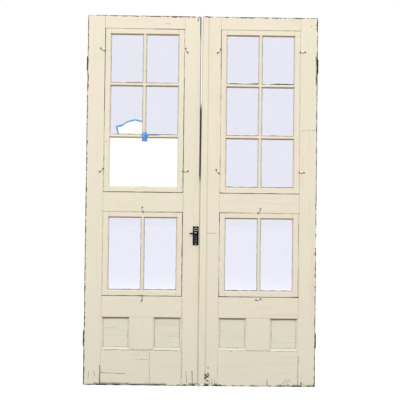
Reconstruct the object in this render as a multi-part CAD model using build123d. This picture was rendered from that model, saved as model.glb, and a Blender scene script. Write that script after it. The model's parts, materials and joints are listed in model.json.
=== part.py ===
from build123d import *
import math
import os

# A pair of glazed storm doors hung side by side, seen from the room: +X right, +Y away, +Z up, in mm.
# The origin is on the floor line, in the middle of the whole pair.

# The two leaves
door_height = 2286
door_thickness = 35
opening_width = 496            # clear width between the stiles, the same in both leaves
hinge_stile_width = 107
meeting_stile_width = 102      # left leaf
astragal_margin = 15           # extra width of the right leaf's meeting stile, under its strip
leaf_gap = 5                   # running gap between the leaves
arris = 1.2                    # worn-off sharp edge of the joinery
joint_vee = 0.8                # open paint joint at the ends of the rails

# Rails, from the floor up; the upper opening takes what is left
bottom_rail_height = 220
panel_height = 200
middle_rail_height = 127
lower_opening_height = 522
lock_rail_height = 118
top_rail_height = 80
mullion_width = 139

# Edges round the openings
lip_width = 12                 # lip behind the sashes, and the moulded edge round the panels
sash_rebate_depth = 24
panel_bevel_width = 11
panel_bevel_depth = 10
panel_thickness = 10
panel_groove_depth = 8
panel_play = 0.3

# Mortise and tenon joints of the doors
tenon_length = 60
tenon_thickness = 11
tenon_shoulder = 16
joint_fit = 0.2

# Storm sashes
sash_thickness = 22
light_columns = 2
upper_rows = 3
lower_rows = 1
sash_play = 3                  # open line all round a sash
sash_member_width = 36
bar_width = 22
bar_bevel_width = 7
bar_bevel_depth = 8
glass_seat_depth = 10          # from the face of the sash to the glass
glass_rebate_width = 6
glass_thickness = 3
glass_play = 1
sash_tenon_length = 24
sash_tenon_thickness = 6
sash_tenon_shoulder = 9
bar_tenon_length = 7
bar_tenon_width = 8

# Astragal on the right leaf
astragal_width = 40
astragal_thickness = 9
astragal_round = 4

# Turn buttons and their screws
button_length = 38
button_hub_radius = 6.5
button_tip_width = 8
button_corner = 2.2            # cut corners at the tips
button_thickness = 2.2
button_lift = 3                # how far the tips stand off
button_rise_share = 0.45       # where along a wing it starts to rise
button_off_face = 0.4          # running clearance under the button
button_reach = 12              # from the screw to the edge of the opening
button_inset = 135             # from the ends of the upper opening
screw_radius = 1.9
screw_head_radius = 4.2
screw_head_height = 2.6
screw_crown_share = 0.55       # width of the flat crown of a screw's head
screw_length = 22
screw_play = 0.08

# Butt hinges
hinge_length = 89
hinge_leaf_width = 28
hinge_leaf_thickness = 2.5
hinge_gap = 3                  # between the door's edge and the frame's
knuckle_radius = 5.5
knuckle_count = 3
knuckle_play = 0.4
barrel_clearance = 0.6         # from the door's back face to the barrel
pin_radius = 3
pin_play = 0.06
pin_tip_radius = 4.6
pin_tip_height = 4
lower_hinge_height = 281       # floor to the middle of the lower hinge
upper_hinge_drop = 300         # top of the door to the middle of the upper hinge
hinge_hole_radius = 2.4
hinge_seat_radius = 3          # where the countersink meets the hole
hinge_sink_radius = 4.4
hinge_sink_depth = 1.5
hinge_hole_spread = 64         # between the two outer holes
hinge_hole_margin = 9          # from the free edge of the leaf to the outer holes
hinge_hole_step = 9            # the middle hole stands this much nearer the barrel
hinge_screw_length = 25

# Latch near the meeting edge of the left leaf
latch_height = 937             # floor to the lever's spindle
latch_backset = 21.5           # meeting edge to the spindle
latch_plate_width = 36
latch_plate_height = 118
latch_plate_below_share = 0.62 # how much of the plate hangs below the spindle
latch_plate_thickness = 3
latch_plate_round = 4
latch_plate_border = 4
latch_plate_sunk = 1
latch_screw_margin = 8
latch_rib_rise = 18            # rib across the plate, above the spindle
latch_rib_height = 3
latch_hole_drops = (22, 37)    # small holes below the spindle
latch_hole_radius = 2.2
lever_length = 38
lever_hub_radius = 8
lever_hub_height = 7
lever_arm_thickness = 6
lever_arm_root = 11
lever_arm_tip = 8
lever_tip_cut = 2.5            # cut corners at the end of the arm
spindle_radius = 4
spindle_play = 0.08
case_height = 64
case_length = 42
case_thickness = 14
case_wall = 1.6
case_play = 0.3
forend_height = 96
forend_width = 19
forend_thickness = 2.5
bolt_height = 12
bolt_thickness = 9
bolt_length = 36
bolt_play = 0.3
bolt_travel = 10
lever_turn = 60                # degrees that throw the bolt
crank_pin_radius = 2
crank_arm_width = 2.4
crank_slot_play = 0.35
crank_hub_radius = 6
strike_depth = 14
strike_play = 2.5              # the pocket is chopped out loosely round the bolt

# Damage seen in the photograph
break_tape_width = 9
tape_thickness = 0.4
top_corner_wear = 14
split_width = 4
split_length = 24
overrun = 2                    # how far a cutter runs past the face that it opens

# Small round work is drawn with flat sides, which keeps the facets few
screw_sides = 6
shank_sides = 8
barrel_sides = 10
hub_sides = 12

# Sizes that follow from the ones above
left_width = hinge_stile_width + opening_width + meeting_stile_width
right_width = left_width + astragal_margin
half_span = (left_width + leaf_gap + right_width) / 2
latch_standout = latch_plate_thickness + lever_hub_height + lever_arm_thickness
barrel_standout = barrel_clearance + 2 * knuckle_radius
front = (latch_standout - door_thickness - barrel_standout) / 2
back = front + door_thickness
face_span = (front, back)
centre_y = (front + back) / 2
sash_face = front + sash_rebate_depth - sash_thickness
sash_back = sash_face + sash_thickness
glass_front = sash_face + glass_seat_depth
glass_back = glass_front + glass_thickness
hinge_axis_y = back + barrel_clearance + knuckle_radius
panel_front = centre_y - panel_thickness / 2
panel_back = centre_y + panel_thickness / 2
crank_radius = bolt_travel / 2 / math.sin(math.radians(lever_turn / 2))

# Heights of rails and openings
bottom_rail_z = (0, bottom_rail_height)
panel_z = (bottom_rail_z[1], bottom_rail_z[1] + panel_height)
middle_rail_z = (panel_z[1], panel_z[1] + middle_rail_height)
lower_z = (middle_rail_z[1], middle_rail_z[1] + lower_opening_height)
lock_rail_z = (lower_z[1], lower_z[1] + lock_rail_height)
top_rail_z = (door_height - top_rail_height, door_height)
upper_z = (lock_rail_z[1], top_rail_z[0])
rail_z = {"top_rail": top_rail_z, "lock_rail": lock_rail_z,
          "middle_rail": middle_rail_z, "bottom_rail": bottom_rail_z}

# Widths, left to right
opening_x = {"left": (-half_span + hinge_stile_width, -half_span + hinge_stile_width + opening_width),
             "right": (half_span - hinge_stile_width - opening_width, half_span - hinge_stile_width)}
outer_x = {"left": (-half_span, -half_span + left_width), "right": (half_span - right_width, half_span)}
stile_names = {"left": ("hinge_stile", "meeting_stile"), "right": ("meeting_stile", "hinge_stile")}
hinge_edge = {"left": -half_span, "right": half_span}
outward = {"left": -1, "right": 1}
spindle_x = outer_x["left"][1] - latch_backset
hinge_heights = (lower_hinge_height, door_height - upper_hinge_drop)

# How far each turn button stands turned from level, anticlockwise as seen, in degrees
button_turn = {
    "left": {"upper_hinge_side": -30, "upper_meeting_side": -62, "mid_hinge_side": 44,
             "mid_meeting_side": 0, "lower_top": -78, "lower_bottom": 90},
    "right": {"upper_hinge_side": 3, "upper_meeting_side": 52, "mid_hinge_side": 0,
              "mid_meeting_side": -50, "lower_top": 64, "lower_bottom": 14},
}

# Missing glass in the left upper sash: columns and rows, counted from the left and from the top
empty_row = upper_rows - 1
broken_light = (0, 1)
# Edge of the broken pane as shares of the light's width and height, from its lower left corner
break_shares = ((0.27, 0), (0.22, 0.15), (0.36, 0.17), (0.50, 0.23), (0.64, 0.27), (0.78, 0.29),
                (1, 0.26))
# Splits that open at the end of a stile: place as a share of its width, then whether it is the top end
split_shares = {"left_meeting_stile": (0.79, True), "right_hinge_stile": (0.31, False)}
# Rot along the feet of the doors: place and half width as shares of a member's width, depth of its height
rot_shares = {
    "left_bottom_rail": ((0.12, 0.05, 0.020), (0.31, 0.09, 0.026), (0.52, 0.06, 0.018),
                         (0.78, 0.04, 0.012)),
    "left_meeting_stile": ((0.50, 0.10, 0.0030), (0.94, 0.10, 0.0040)),
    "left_hinge_stile": ((0.12, 0.12, 0.0030), (0.66, 0.10, 0.0020)),
    "right_bottom_rail": ((0.36, 0.05, 0.016), (0.58, 0.07, 0.022), (0.86, 0.05, 0.026)),
    "right_meeting_stile": ((0.16, 0.15, 0.0066), (0.62, 0.11, 0.0045)),
    "right_hinge_stile": ((0.30, 0.08, 0.0040), (0.80, 0.12, 0.0028)),
    "right_astragal": ((0.55, 0.42, 0.0072),),
}


def block(x, y, z):
    """A box between two limits on each axis."""
    spans = (x, y, z)
    return Pos(*[(low + high) / 2 for low, high in spans]) * Box(*[high - low for low, high in spans])


def grown(span, amount):
    return (span[0] - amount, span[1] + amount)


def middle(span):
    return (span[0] + span[1]) / 2


def prism(points, y):
    """A plate with an XZ outline, between two depths."""
    plane = Plane(origin=(0, y[0], 0), x_dir=(1, 0, 0), z_dir=(0, -1, 0))
    return extrude(plane * make_face(Polyline(*points, close=True)), amount=y[1] - y[0], dir=(0, 1, 0))


def rod(radius, length, sides):
    """A bar along Z, round or with flat sides within its circle."""
    if not sides:
        return Cylinder(radius, length)
    return extrude(RegularPolygon(radius, sides), amount=length / 2, both=True)


def rod_y(radius, y, x, z, sides=0):
    """A bar along Y."""
    return Pos(x, middle(y), z) * Rot(90, 0, 0) * rod(radius, y[1] - y[0], sides)


def rod_x(radius, x, y, z, sides=0):
    """A bar along X."""
    return Pos(middle(x), y, z) * Rot(0, 90, 0) * rod(radius, x[1] - x[0], sides)


def rod_z(radius, z, x, y, sides=0):
    """A bar along Z."""
    return Pos(x, y, middle(z)) * rod(radius, z[1] - z[0], sides)


def around(radius):
    """Radius at the corners of a flat-sided hole that clears a bar of the given radius as it turns."""
    return radius / math.cos(math.pi / shank_sides)


def frustum(low_radius, high_radius, height, sides):
    """A flat-sided cone that stands on the origin, along Z."""
    ends = [RegularPolygon(low_radius, sides), Pos(0, 0, height) * RegularPolygon(high_radius, sides)]
    return loft(ends, ruled=True)


def flared(x, z, y_wide, y_narrow, flare):
    """A pocket that has the outline x by z at one depth and widens evenly towards another."""
    depth = abs(y_narrow - y_wide)
    run = depth + overrun
    reach = flare * run / depth
    width, height = x[1] - x[0], z[1] - z[0]
    corner = (Align.MIN, Align.MIN, Align.MIN)
    pocket = Wedge(width + 2 * reach, run, height + 2 * reach,
                   reach, reach, reach + width, reach + height, align=corner)
    if y_wide < y_narrow:
        return Pos(x[0] - reach, y_wide - overrun, z[0] - reach) * pocket
    return Pos(x[1] + reach, y_wide + overrun, z[0] - reach) * Rot(0, 0, 180) * pocket


def cut(solid, tools):
    """The solid without the tools that meet its box."""
    box = solid.bounding_box()
    for tool in tools:
        other = tool.bounding_box()
        clear = (other.min.X > box.max.X or other.max.X < box.min.X or other.min.Y > box.max.Y
                 or other.max.Y < box.min.Y or other.min.Z > box.max.Z or other.max.Z < box.min.Z)
        if not clear:
            solid = solid - tool
    return solid


def edge_strip(x, z, side):
    """The mitred edge that a member carries along one side of an opening."""
    inner_x, inner_z = grown(x, -lip_width), grown(z, -lip_width)
    corners = {
        "left": ((x[0], z[0]), (x[0], z[1]), (inner_x[0], inner_z[1]), (inner_x[0], inner_z[0])),
        "right": ((x[1], z[0]), (x[1], z[1]), (inner_x[1], inner_z[1]), (inner_x[1], inner_z[0])),
        "bottom": ((x[0], z[0]), (x[1], z[0]), (inner_x[1], inner_z[0]), (inner_x[0], inner_z[0])),
        "top": ((x[0], z[1]), (x[1], z[1]), (inner_x[1], inner_z[1]), (inner_x[0], inner_z[1])),
    }
    return prism(corners[side], face_span)


def panel_spans(side):
    """The two panel openings, left and right of the mullion."""
    x = opening_x[side]
    half = mullion_width / 2
    return ((x[0], middle(x) - half), (middle(x) + half, x[1]))


def panel_tools(x):
    """Bevelled openings on both faces and the groove that a panel stands in."""
    sight_x, sight_z = grown(x, -lip_width), grown(panel_z, -lip_width)
    groove_x, groove_z = grown(sight_x, panel_groove_depth), grown(sight_z, panel_groove_depth)
    return [flared(sight_x, sight_z, front, front + panel_bevel_depth, panel_bevel_width),
            flared(sight_x, sight_z, back, back - panel_bevel_depth, panel_bevel_width),
            block(groove_x, (panel_front, panel_back), groove_z)]


def rail_tenon(x, z, outward_sign, fit=0):
    """The tenon at one end of a rail, or its mortise when it is given a fit."""
    end = x[1] if outward_sign > 0 else x[0]
    reach = end + outward_sign * (tenon_length + fit)
    y = grown((centre_y, centre_y), tenon_thickness / 2 + fit)
    return block(tuple(sorted((end, reach))), y, grown(z, fit - tenon_shoulder))


def mullion_tenon(x, z, up, fit=0):
    """The tenon at one end of the mullion, or its mortise when it is given a fit."""
    end = z[1] if up > 0 else z[0]
    reach = end + up * (tenon_length + fit)
    y = grown((centre_y, centre_y), tenon_thickness / 2 + fit)
    return block(grown(x, fit - tenon_shoulder), y, tuple(sorted((end, reach))))


def rot_tools(node, x, height):
    """Scooped hollows that rot has left in the foot of a member."""
    tools = []
    for place, half, depth in rot_shares.get(node, ()):
        half_width, deep = half * (x[1] - x[0]), depth * height
        radius = (half_width ** 2 + deep ** 2) / (2 * deep)
        centre = x[0] + place * (x[1] - x[0])
        tools.append(rod_y(radius, grown(face_span, astragal_thickness + overrun), centre, deep - radius))
    return tools


def split_tools(node, x):
    """The wedge that a split has opened at the end of a stile."""
    if node not in split_shares:
        return []
    place, at_top = split_shares[node]
    centre = x[0] + place * (x[1] - x[0])
    mouth = door_height + overrun if at_top else -overrun
    inner = door_height - split_length if at_top else split_length
    half = split_width / 2
    wedge = ((centre - half, mouth), (centre + half, mouth), (centre, inner))
    return [prism(wedge, grown(face_span, overrun))]


def stile_blank(x, worn_side):
    """A stile as a board with its outer arrises eased and, at the meeting edge, a worn top corner."""
    board = block(x, face_span, (0, door_height))
    if worn_side:
        corner = board.edges().filter_by(Axis.Y).group_by(Axis.Z)[-1].sort_by(Axis.X)
        board = fillet(corner[-1] if worn_side > 0 else corner[0], top_corner_wear)
    return board


def eased_edge(x_edge, inward):
    """Two slips that take the arrises off a long outer edge, front and back."""
    slips = []
    for y_edge, sign in ((front, 1), (back, -1)):
        corner = ((x_edge, y_edge), (x_edge + inward * arris, y_edge), (x_edge, y_edge + sign * arris))
        face = make_face(Polyline(*corner, close=True))
        slips.append(extrude(face, amount=door_height, dir=(0, 0, 1)))
    return slips


def door_frame(side):
    """Stiles, rails, mullion and panels of one leaf."""
    x = opening_x[side]
    left_name, right_name = stile_names[side]
    stiles = {left_name: (outer_x[side][0], x[0]), right_name: (x[1], outer_x[side][1])}
    mullion_x = (panel_spans(side)[0][1], panel_spans(side)[1][0])
    mortises = {left_name: [], right_name: [], "middle_rail": [], "bottom_rail": []}
    pieces = {}
    for name, span in stiles.items():
        worn = 0 if name == "hinge_stile" else -outward[side]
        pieces[name] = stile_blank(span, worn)
    for name, z in rail_z.items():
        rail = block(x, face_span, z)
        rail = chamfer(rail.edges().filter_by(Axis.Z), joint_vee)
        pieces[name] = rail + rail_tenon(x, z, -1) + rail_tenon(x, z, 1)
        mortises[left_name].append(rail_tenon(x, z, -1, joint_fit))
        mortises[right_name].append(rail_tenon(x, z, 1, joint_fit))
    mullion = chamfer(block(mullion_x, face_span, panel_z).edges().filter_by(Axis.X), joint_vee)
    for up in (-1, 1):
        mullion = mullion + mullion_tenon(mullion_x, panel_z, up)
    pieces["panel_mullion"] = mullion
    mortises["bottom_rail"].append(mullion_tenon(mullion_x, panel_z, -1, joint_fit))
    mortises["middle_rail"].append(mullion_tenon(mullion_x, panel_z, 1, joint_fit))

    left_panel, right_panel = panel_spans(side)
    openings = (
        (x, upper_z, left_name, right_name, "lock_rail", "top_rail"),
        (x, lower_z, left_name, right_name, "middle_rail", "lock_rail"),
        (left_panel, panel_z, left_name, "panel_mullion", "bottom_rail", "middle_rail"),
        (right_panel, panel_z, "panel_mullion", right_name, "bottom_rail", "middle_rail"),
    )
    for span_x, span_z, at_left, at_right, below, above in openings:
        for member, edge in ((at_left, "left"), (at_right, "right"), (below, "bottom"), (above, "top")):
            pieces[member] = pieces[member] + edge_strip(span_x, span_z, edge)

    rebate_y = (front - overrun, front + sash_rebate_depth)
    tools = [block(x, rebate_y, upper_z), block(x, rebate_y, lower_z)]
    tools += panel_tools(left_panel) + panel_tools(right_panel)
    tools += eased_edge(outer_x[side][0], 1) + eased_edge(outer_x[side][1], -1)
    tools += screw_holes(side) + hinge_recesses(side)
    for name in pieces:
        span = stiles.get(name, x)
        height = door_height if name in stiles else bottom_rail_height
        decay = rot_tools(side + "_" + name, span, height) + split_tools(side + "_" + name, span)
        pieces[name] = cut(pieces[name], tools + mortises.get(name, []) + decay)

    fill_x, fill_z = -lip_width + panel_groove_depth - panel_play, panel_z
    pieces["panels"] = [block(grown(span, fill_x), (panel_front, panel_back), grown(fill_z, fill_x))
                        for span in panel_spans(side)]
    return pieces


def lights(x, z, columns, rows):
    """Sight openings of a sash, by column and by row from the top."""
    inner_x, inner_z = grown(x, -sash_member_width), grown(z, -sash_member_width)
    width = (inner_x[1] - inner_x[0] - (columns - 1) * bar_width) / columns
    height = (inner_z[1] - inner_z[0] - (rows - 1) * bar_width) / rows
    found = {}
    for column in range(columns):
        for row in range(rows):
            low_x = inner_x[0] + column * (width + bar_width)
            high_z = inner_z[1] - row * (height + bar_width)
            found[column, row] = ((low_x, low_x + width), (high_z - height, high_z))
    return found


def light_tools(x, z):
    """Bevelled front and the rebate behind for the glass of one light."""
    seat = (glass_front, sash_back + overrun)
    return [flared(x, z, sash_face, sash_face + bar_bevel_depth, bar_bevel_width),
            block(grown(x, glass_rebate_width), seat, grown(z, glass_rebate_width))]


def sash_tenon(end_x, sign, z, fit=0):
    """Tenon of a sash rail, or its mortise when it is given a fit."""
    y = grown((glass_front, glass_front), sash_tenon_thickness / 2 + fit)
    reach = end_x + sign * (sash_tenon_length + fit)
    return block(tuple(sorted((end_x, reach))), y, grown(z, fit - sash_tenon_shoulder))


def bar_tenon(x, z, fit=0):
    """Stub tenon between two bars, or its mortise when it is given a fit."""
    y = grown((glass_front, glass_front), sash_tenon_thickness / 2 + fit)
    return block(grown(x, fit), y, grown(z, fit))


def sash(x, z, columns, rows, lost_uprights=()):
    """Stiles, rails and glazing bars of one sash, each a piece of its own."""
    body_y = (sash_face, sash_back)
    openings = lights(x, z, columns, rows)
    tools = [tool for light in openings.values() for tool in light_tools(*light)]
    inner_x, inner_z = grown(x, -sash_member_width), grown(z, -sash_member_width)
    rails = {"bottom": (z[0], inner_z[0]), "top": (inner_z[1], z[1])}
    stiles = {"left": (x[0], inner_x[0]), "right": (inner_x[1], x[1])}
    half_tenon = bar_tenon_width / 2

    level_bars = []
    for row in range(rows - 1):
        top = openings[0, row][1][0]
        level_bars.append((top - bar_width, top))
    uprights = []
    for column in range(columns - 1):
        left = openings[column, 0][0][1]
        for row in range(rows):
            uprights.append(((left, left + bar_width), openings[column, row][1], row))

    level_tenons, upright_tenons = [], []
    for span in level_bars:
        core = grown((middle(span), middle(span)), half_tenon)
        level_tenons.append(((inner_x[0] - bar_tenon_length, inner_x[0]), core))
        level_tenons.append(((inner_x[1], inner_x[1] + bar_tenon_length), core))
    for span, height, row in uprights:
        core = grown((middle(span), middle(span)), half_tenon)
        upright_tenons.append((core, (height[0] - bar_tenon_length, height[0])))
        upright_tenons.append((core, (height[1], height[1] + bar_tenon_length)))

    stile_mortises = [bar_tenon(*spans, fit=joint_fit) for spans in level_tenons]
    mortises = [bar_tenon(*spans, fit=joint_fit) for spans in upright_tenons]
    made = {"stiles": [], "rails": [], "bars": []}
    for span in rails.values():
        rail = block(inner_x, body_y, span)
        rail = rail + sash_tenon(inner_x[0], -1, span) + sash_tenon(inner_x[1], 1, span)
        made["rails"].append(cut(rail, tools + mortises))
        for end_x, sign in zip(inner_x, (-1, 1)):
            stile_mortises.append(sash_tenon(end_x, sign, span, joint_fit))
    for span in stiles.values():
        made["stiles"].append(cut(block(span, body_y, z), tools + stile_mortises))
    for span in level_bars:
        core = grown((middle(span), middle(span)), half_tenon)
        bar = cut(block(inner_x, body_y, span), tools + mortises)
        bar = bar + bar_tenon((inner_x[0] - bar_tenon_length, inner_x[0]), core)
        made["bars"].append(bar + bar_tenon((inner_x[1], inner_x[1] + bar_tenon_length), core))
    for span, height, row in uprights:
        if row in lost_uprights:
            continue
        bar = cut(block(span, body_y, height), tools)
        core = grown((middle(span), middle(span)), half_tenon)
        bar = bar + bar_tenon(core, (height[0] - bar_tenon_length, height[0]))
        made["bars"].append(bar + bar_tenon(core, (height[1], height[1] + bar_tenon_length)))
    return made, openings


def pane(x, z):
    """A sheet of glass lying against its rebate."""
    edge = glass_rebate_width - glass_play
    return block(grown(x, edge), (glass_front, glass_back), grown(z, edge))


def putty(x, z):
    """The sloped bed of putty behind a pane."""
    edge = (glass_back, sash_back)
    ring = block(grown(x, glass_rebate_width), edge, grown(z, glass_rebate_width))
    hollow = flared(x, z, sash_back, glass_back, glass_rebate_width - glass_play)
    return ring - hollow - block(x, grown(edge, overrun), z)


def break_points(x, z):
    """Points along the broken edge of a pane."""
    return [(x[0] + across * (x[1] - x[0]), z[0] + up * (z[1] - z[0])) for across, up in break_shares]


def broken_pane(x, z):
    """What is left of the broken pane."""
    points = break_points(x, z)
    edge = glass_rebate_width + overrun
    far, low = x[1] + edge, z[0] - edge
    hole = [(points[0][0], low)] + points + [(far, points[-1][1]), (far, low)]
    return pane(x, z) - prism(hole, grown((glass_front, glass_back), overrun))


def break_tape(x, z, glass):
    """Tape folded over the broken edge of the pane."""
    line = Polyline(*break_points(x, z))
    band = make_face(offset(line, break_tape_width, kind=Kind.INTERSECTION, side=Side.LEFT))
    band = band + make_face(offset(line, tape_thickness, kind=Kind.INTERSECTION, side=Side.RIGHT))
    plane = Plane(origin=(0, glass_front - tape_thickness, 0), x_dir=(1, 0, 0), z_dir=(0, -1, 0))
    thick = glass_thickness + 2 * tape_thickness
    sheath = extrude(plane * band, amount=thick, dir=(0, 1, 0))
    frame = block(x, (sash_face, sash_back), z)
    return (sheath & frame) - glass


def bar_tape(x, z):
    """Tape wrapped round the level bar where an upright is lost, x and z being the span of the crossing."""
    y = (sash_face, sash_back)
    wrap_x = grown(x, break_tape_width / 2)
    outer = block(wrap_x, grown(y, tape_thickness), (z[0] - tape_thickness, z[1]))
    return outer - block(grown(wrap_x, overrun), y, (z[0], z[1] + overrun))


def button(turn, x, z):
    """A turn button: a hub with two wings that rise to their tips."""
    half = button_length / 2
    start = button_hub_radius + button_rise_share * (half - button_hub_radius)
    top = button_thickness
    rise = button_lift
    side_line = [(-half, rise), (-start, 0), (start, 0), (half, rise),
                 (half, rise + top), (start, top), (-start, top), (-half, rise + top)]
    strip = extrude(make_face(Polyline(*side_line, close=True)), amount=button_hub_radius, both=True)
    wings = chamfer(Rectangle(button_length, button_tip_width).vertices(), button_corner)
    outline = wings + RegularPolygon(button_hub_radius, barrel_sides)
    plan = Rot(90, 0, 0) * extrude(outline, amount=rise + top + overrun, both=True)
    strip = strip & plan
    through = grown((0, 0), rise + top + overrun)
    strip = strip - rod_y(around(screw_radius + screw_play), through, 0, 0, shank_sides)
    flipped = Rot(180, 0, 0) * strip
    return Pos(x, front - button_off_face, z) * Rot(0, -turn, 0) * flipped


def button_places(side):
    """Where the screws of the turn buttons stand on one leaf."""
    x = opening_x[side]
    hinge_x, meeting_x = (x[0] - button_reach, x[1] + button_reach)
    if side == "right":
        hinge_x, meeting_x = meeting_x, hinge_x
    high, low = upper_z[1] - button_inset, upper_z[0] + button_inset
    return {"upper_hinge_side": (hinge_x, high), "upper_meeting_side": (meeting_x, high),
            "mid_hinge_side": (hinge_x, low), "mid_meeting_side": (meeting_x, low),
            "lower_top": (middle(x), lower_z[1] + button_reach),
            "lower_bottom": (middle(x), lower_z[0] - button_reach)}


def round_screw():
    """A round-head wood screw along +Y, its head bearing on the plane y = 0."""
    crown = screw_head_radius * screw_crown_share
    head = Rot(90, 0, 0) * frustum(screw_head_radius, crown, screw_head_height, barrel_sides)
    return head + rod_y(screw_radius, (0, screw_length), 0, 0, screw_sides)


def button_seat():
    """Depth of the underside of a button screw's head."""
    return front - 2 * button_off_face - button_thickness


def latch_plate_z():
    """Height span of the latch plate round its spindle."""
    low = latch_height - latch_plate_height * latch_plate_below_share
    return (low, low + latch_plate_height)


def latch_screw_heights():
    span = latch_plate_z()
    return (span[0] + latch_screw_margin, span[1] - latch_screw_margin)


def screw_holes(side):
    """Holes for the round-head screws of one leaf."""
    deep = (front - overrun, button_seat() + screw_length + screw_play)
    bore = screw_radius + screw_play
    holes = [rod_y(bore, deep, x, z, screw_sides) for x, z in button_places(side).values()]
    if side == "left":
        depth = front - latch_plate_thickness + screw_length + screw_play
        holes += [rod_y(bore, (front - overrun, depth), spindle_x, z, screw_sides)
                  for z in latch_screw_heights()]
        holes += latch_tools()
    else:
        holes.append(strike_pocket())
    return holes


def round_screws(side):
    screw = round_screw()
    places = [(x, button_seat(), z) for x, z in button_places(side).values()]
    if side == "left":
        places += [(spindle_x, front - latch_plate_thickness, z) for z in latch_screw_heights()]
    return [Pos(*place) * screw for place in places]


def hinge_hole_places(side, height):
    """Screw holes of a hinge leaf: depth and height of each."""
    free_y = back - hinge_leaf_width + hinge_hole_margin
    half = hinge_hole_spread / 2
    return ((free_y, height - half), (free_y + hinge_hole_step, height), (free_y, height + half))


def hinge_recesses(side):
    """Seats and pilot holes for the hinge leaves in the edge of a door."""
    edge, sign = hinge_edge[side], outward[side]
    tools = []
    for height in hinge_heights:
        deep = tuple(sorted((edge - sign * hinge_leaf_thickness, edge + sign * overrun)))
        tall = grown((height, height), hinge_length / 2)
        tools.append(block(deep, (back - hinge_leaf_width, back + overrun), tall))
        for y, z in hinge_hole_places(side, height):
            reach = edge - sign * (hinge_screw_length + screw_play)
            pilot = tuple(sorted((reach, edge)))
            tools.append(rod_x(screw_radius + screw_play, pilot, y, z, screw_sides))
    return tools


def sunk_head(edge, sign, y, z, play=0):
    """The cone of a countersunk screw head, flush with a leaf's face; sign points out of that face."""
    narrow, wide = hinge_seat_radius + play, around(hinge_sink_radius) + play
    cone = frustum(narrow, wide, hinge_sink_depth, shank_sides)
    return Pos(edge - sign * hinge_sink_depth, y, z) * Rot(0, 90 * sign, 0) * cone


def hinge_leaf(side, height, on_door):
    """One leaf of a butt hinge with its share of the knuckles."""
    edge, sign = hinge_edge[side], outward[side]
    axis_x = edge + sign * hinge_gap / 2
    face = edge if on_door else edge + sign * hinge_gap
    into = -sign if on_door else sign
    plate_x = tuple(sorted((face, face + into * hinge_leaf_thickness)))
    low = height - hinge_length / 2
    pitch = hinge_length / knuckle_count
    leaf = block(plate_x, (back - hinge_leaf_width, back), (low, low + hinge_length))
    for index in range(knuckle_count):
        if (index % 2 == 1) == on_door:
            bottom = 0 if index == 0 else knuckle_play / 2
            top = 0 if index == knuckle_count - 1 else knuckle_play / 2
            z = (low + index * pitch + bottom, low + (index + 1) * pitch - top)
            barrel = rod_z(knuckle_radius, z, axis_x, hinge_axis_y, barrel_sides)
            leaf = leaf + block(plate_x, (back, hinge_axis_y), z) + barrel
    bore_z = grown((low, low + hinge_length), overrun)
    leaf = leaf - rod_z(around(pin_radius + pin_play), bore_z, axis_x, hinge_axis_y, shank_sides)
    for y, z in hinge_hole_places(side, height):
        through = tuple(sorted((face - into * overrun, face + into * (hinge_leaf_thickness + overrun))))
        leaf = leaf - rod_x(hinge_hole_radius, through, y, z, shank_sides if on_door else 0)
        leaf = leaf - sunk_head(face, -into, y, z)
    return leaf


def hinge_pin(side, height):
    """The pin of a hinge with a button tip at each end."""
    axis_x = hinge_edge[side] + outward[side] * hinge_gap / 2
    z = grown((height, height), hinge_length / 2)
    pin = rod_z(pin_radius, z, axis_x, hinge_axis_y, shank_sides)
    for tip in ((z[0] - pin_tip_height, z[0]), (z[1], z[1] + pin_tip_height)):
        pin = pin + rod_z(pin_tip_radius, tip, axis_x, hinge_axis_y, barrel_sides)
    return pin


def hinge_screws(side):
    """Countersunk screws that hold the hinge leaves to the door."""
    edge, sign = hinge_edge[side], outward[side]
    screws = []
    for height in hinge_heights:
        for y, z in hinge_hole_places(side, height):
            shank = tuple(sorted((edge - sign * hinge_sink_depth, edge - sign * hinge_screw_length)))
            screw = sunk_head(edge, sign, y, z, -screw_play)
            screws.append(screw + rod_x(screw_radius, shank, y, z, screw_sides))
    return screws


def latch_plate():
    """The plate on the face of the stile, with a raised border, a rib and two small holes."""
    z = latch_plate_z()
    x = grown((spindle_x, spindle_x), latch_plate_width / 2)
    y = (front - latch_plate_thickness, front)
    plate = block(x, y, z)
    plate = fillet(plate.edges().filter_by(Axis.Y), latch_plate_round)
    field_z = grown(z, -2 * latch_screw_margin)
    field = block(grown(x, -latch_plate_border), (y[0] - overrun, y[0] + latch_plate_sunk), field_z)
    plate = plate - field
    rim = plate.faces().sort_by(Axis.Y)[0].edges()
    long_edges = rim.filter_by(lambda edge: edge.bounding_box().size.Z > field_z[1] - field_z[0])
    plate = chamfer(long_edges, arris / 2)
    plate = plate + rod_y(lever_hub_radius + latch_plate_border / 2, y, spindle_x, latch_height, hub_sides)
    rib_z = grown((latch_height + latch_rib_rise, latch_height + latch_rib_rise), latch_rib_height / 2)
    plate = plate + block(grown(x, -latch_plate_border), y, rib_z)
    holes = [(around(spindle_radius + spindle_play), latch_height, shank_sides)]
    holes += [(screw_radius + screw_play, height, screw_sides) for height in latch_screw_heights()]
    holes += [(latch_hole_radius, latch_height - drop, screw_sides) for drop in latch_hole_drops]
    for radius, height, sides in holes:
        plate = plate - rod_y(radius, grown(y, overrun), spindle_x, height, sides)
    return plate


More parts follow.
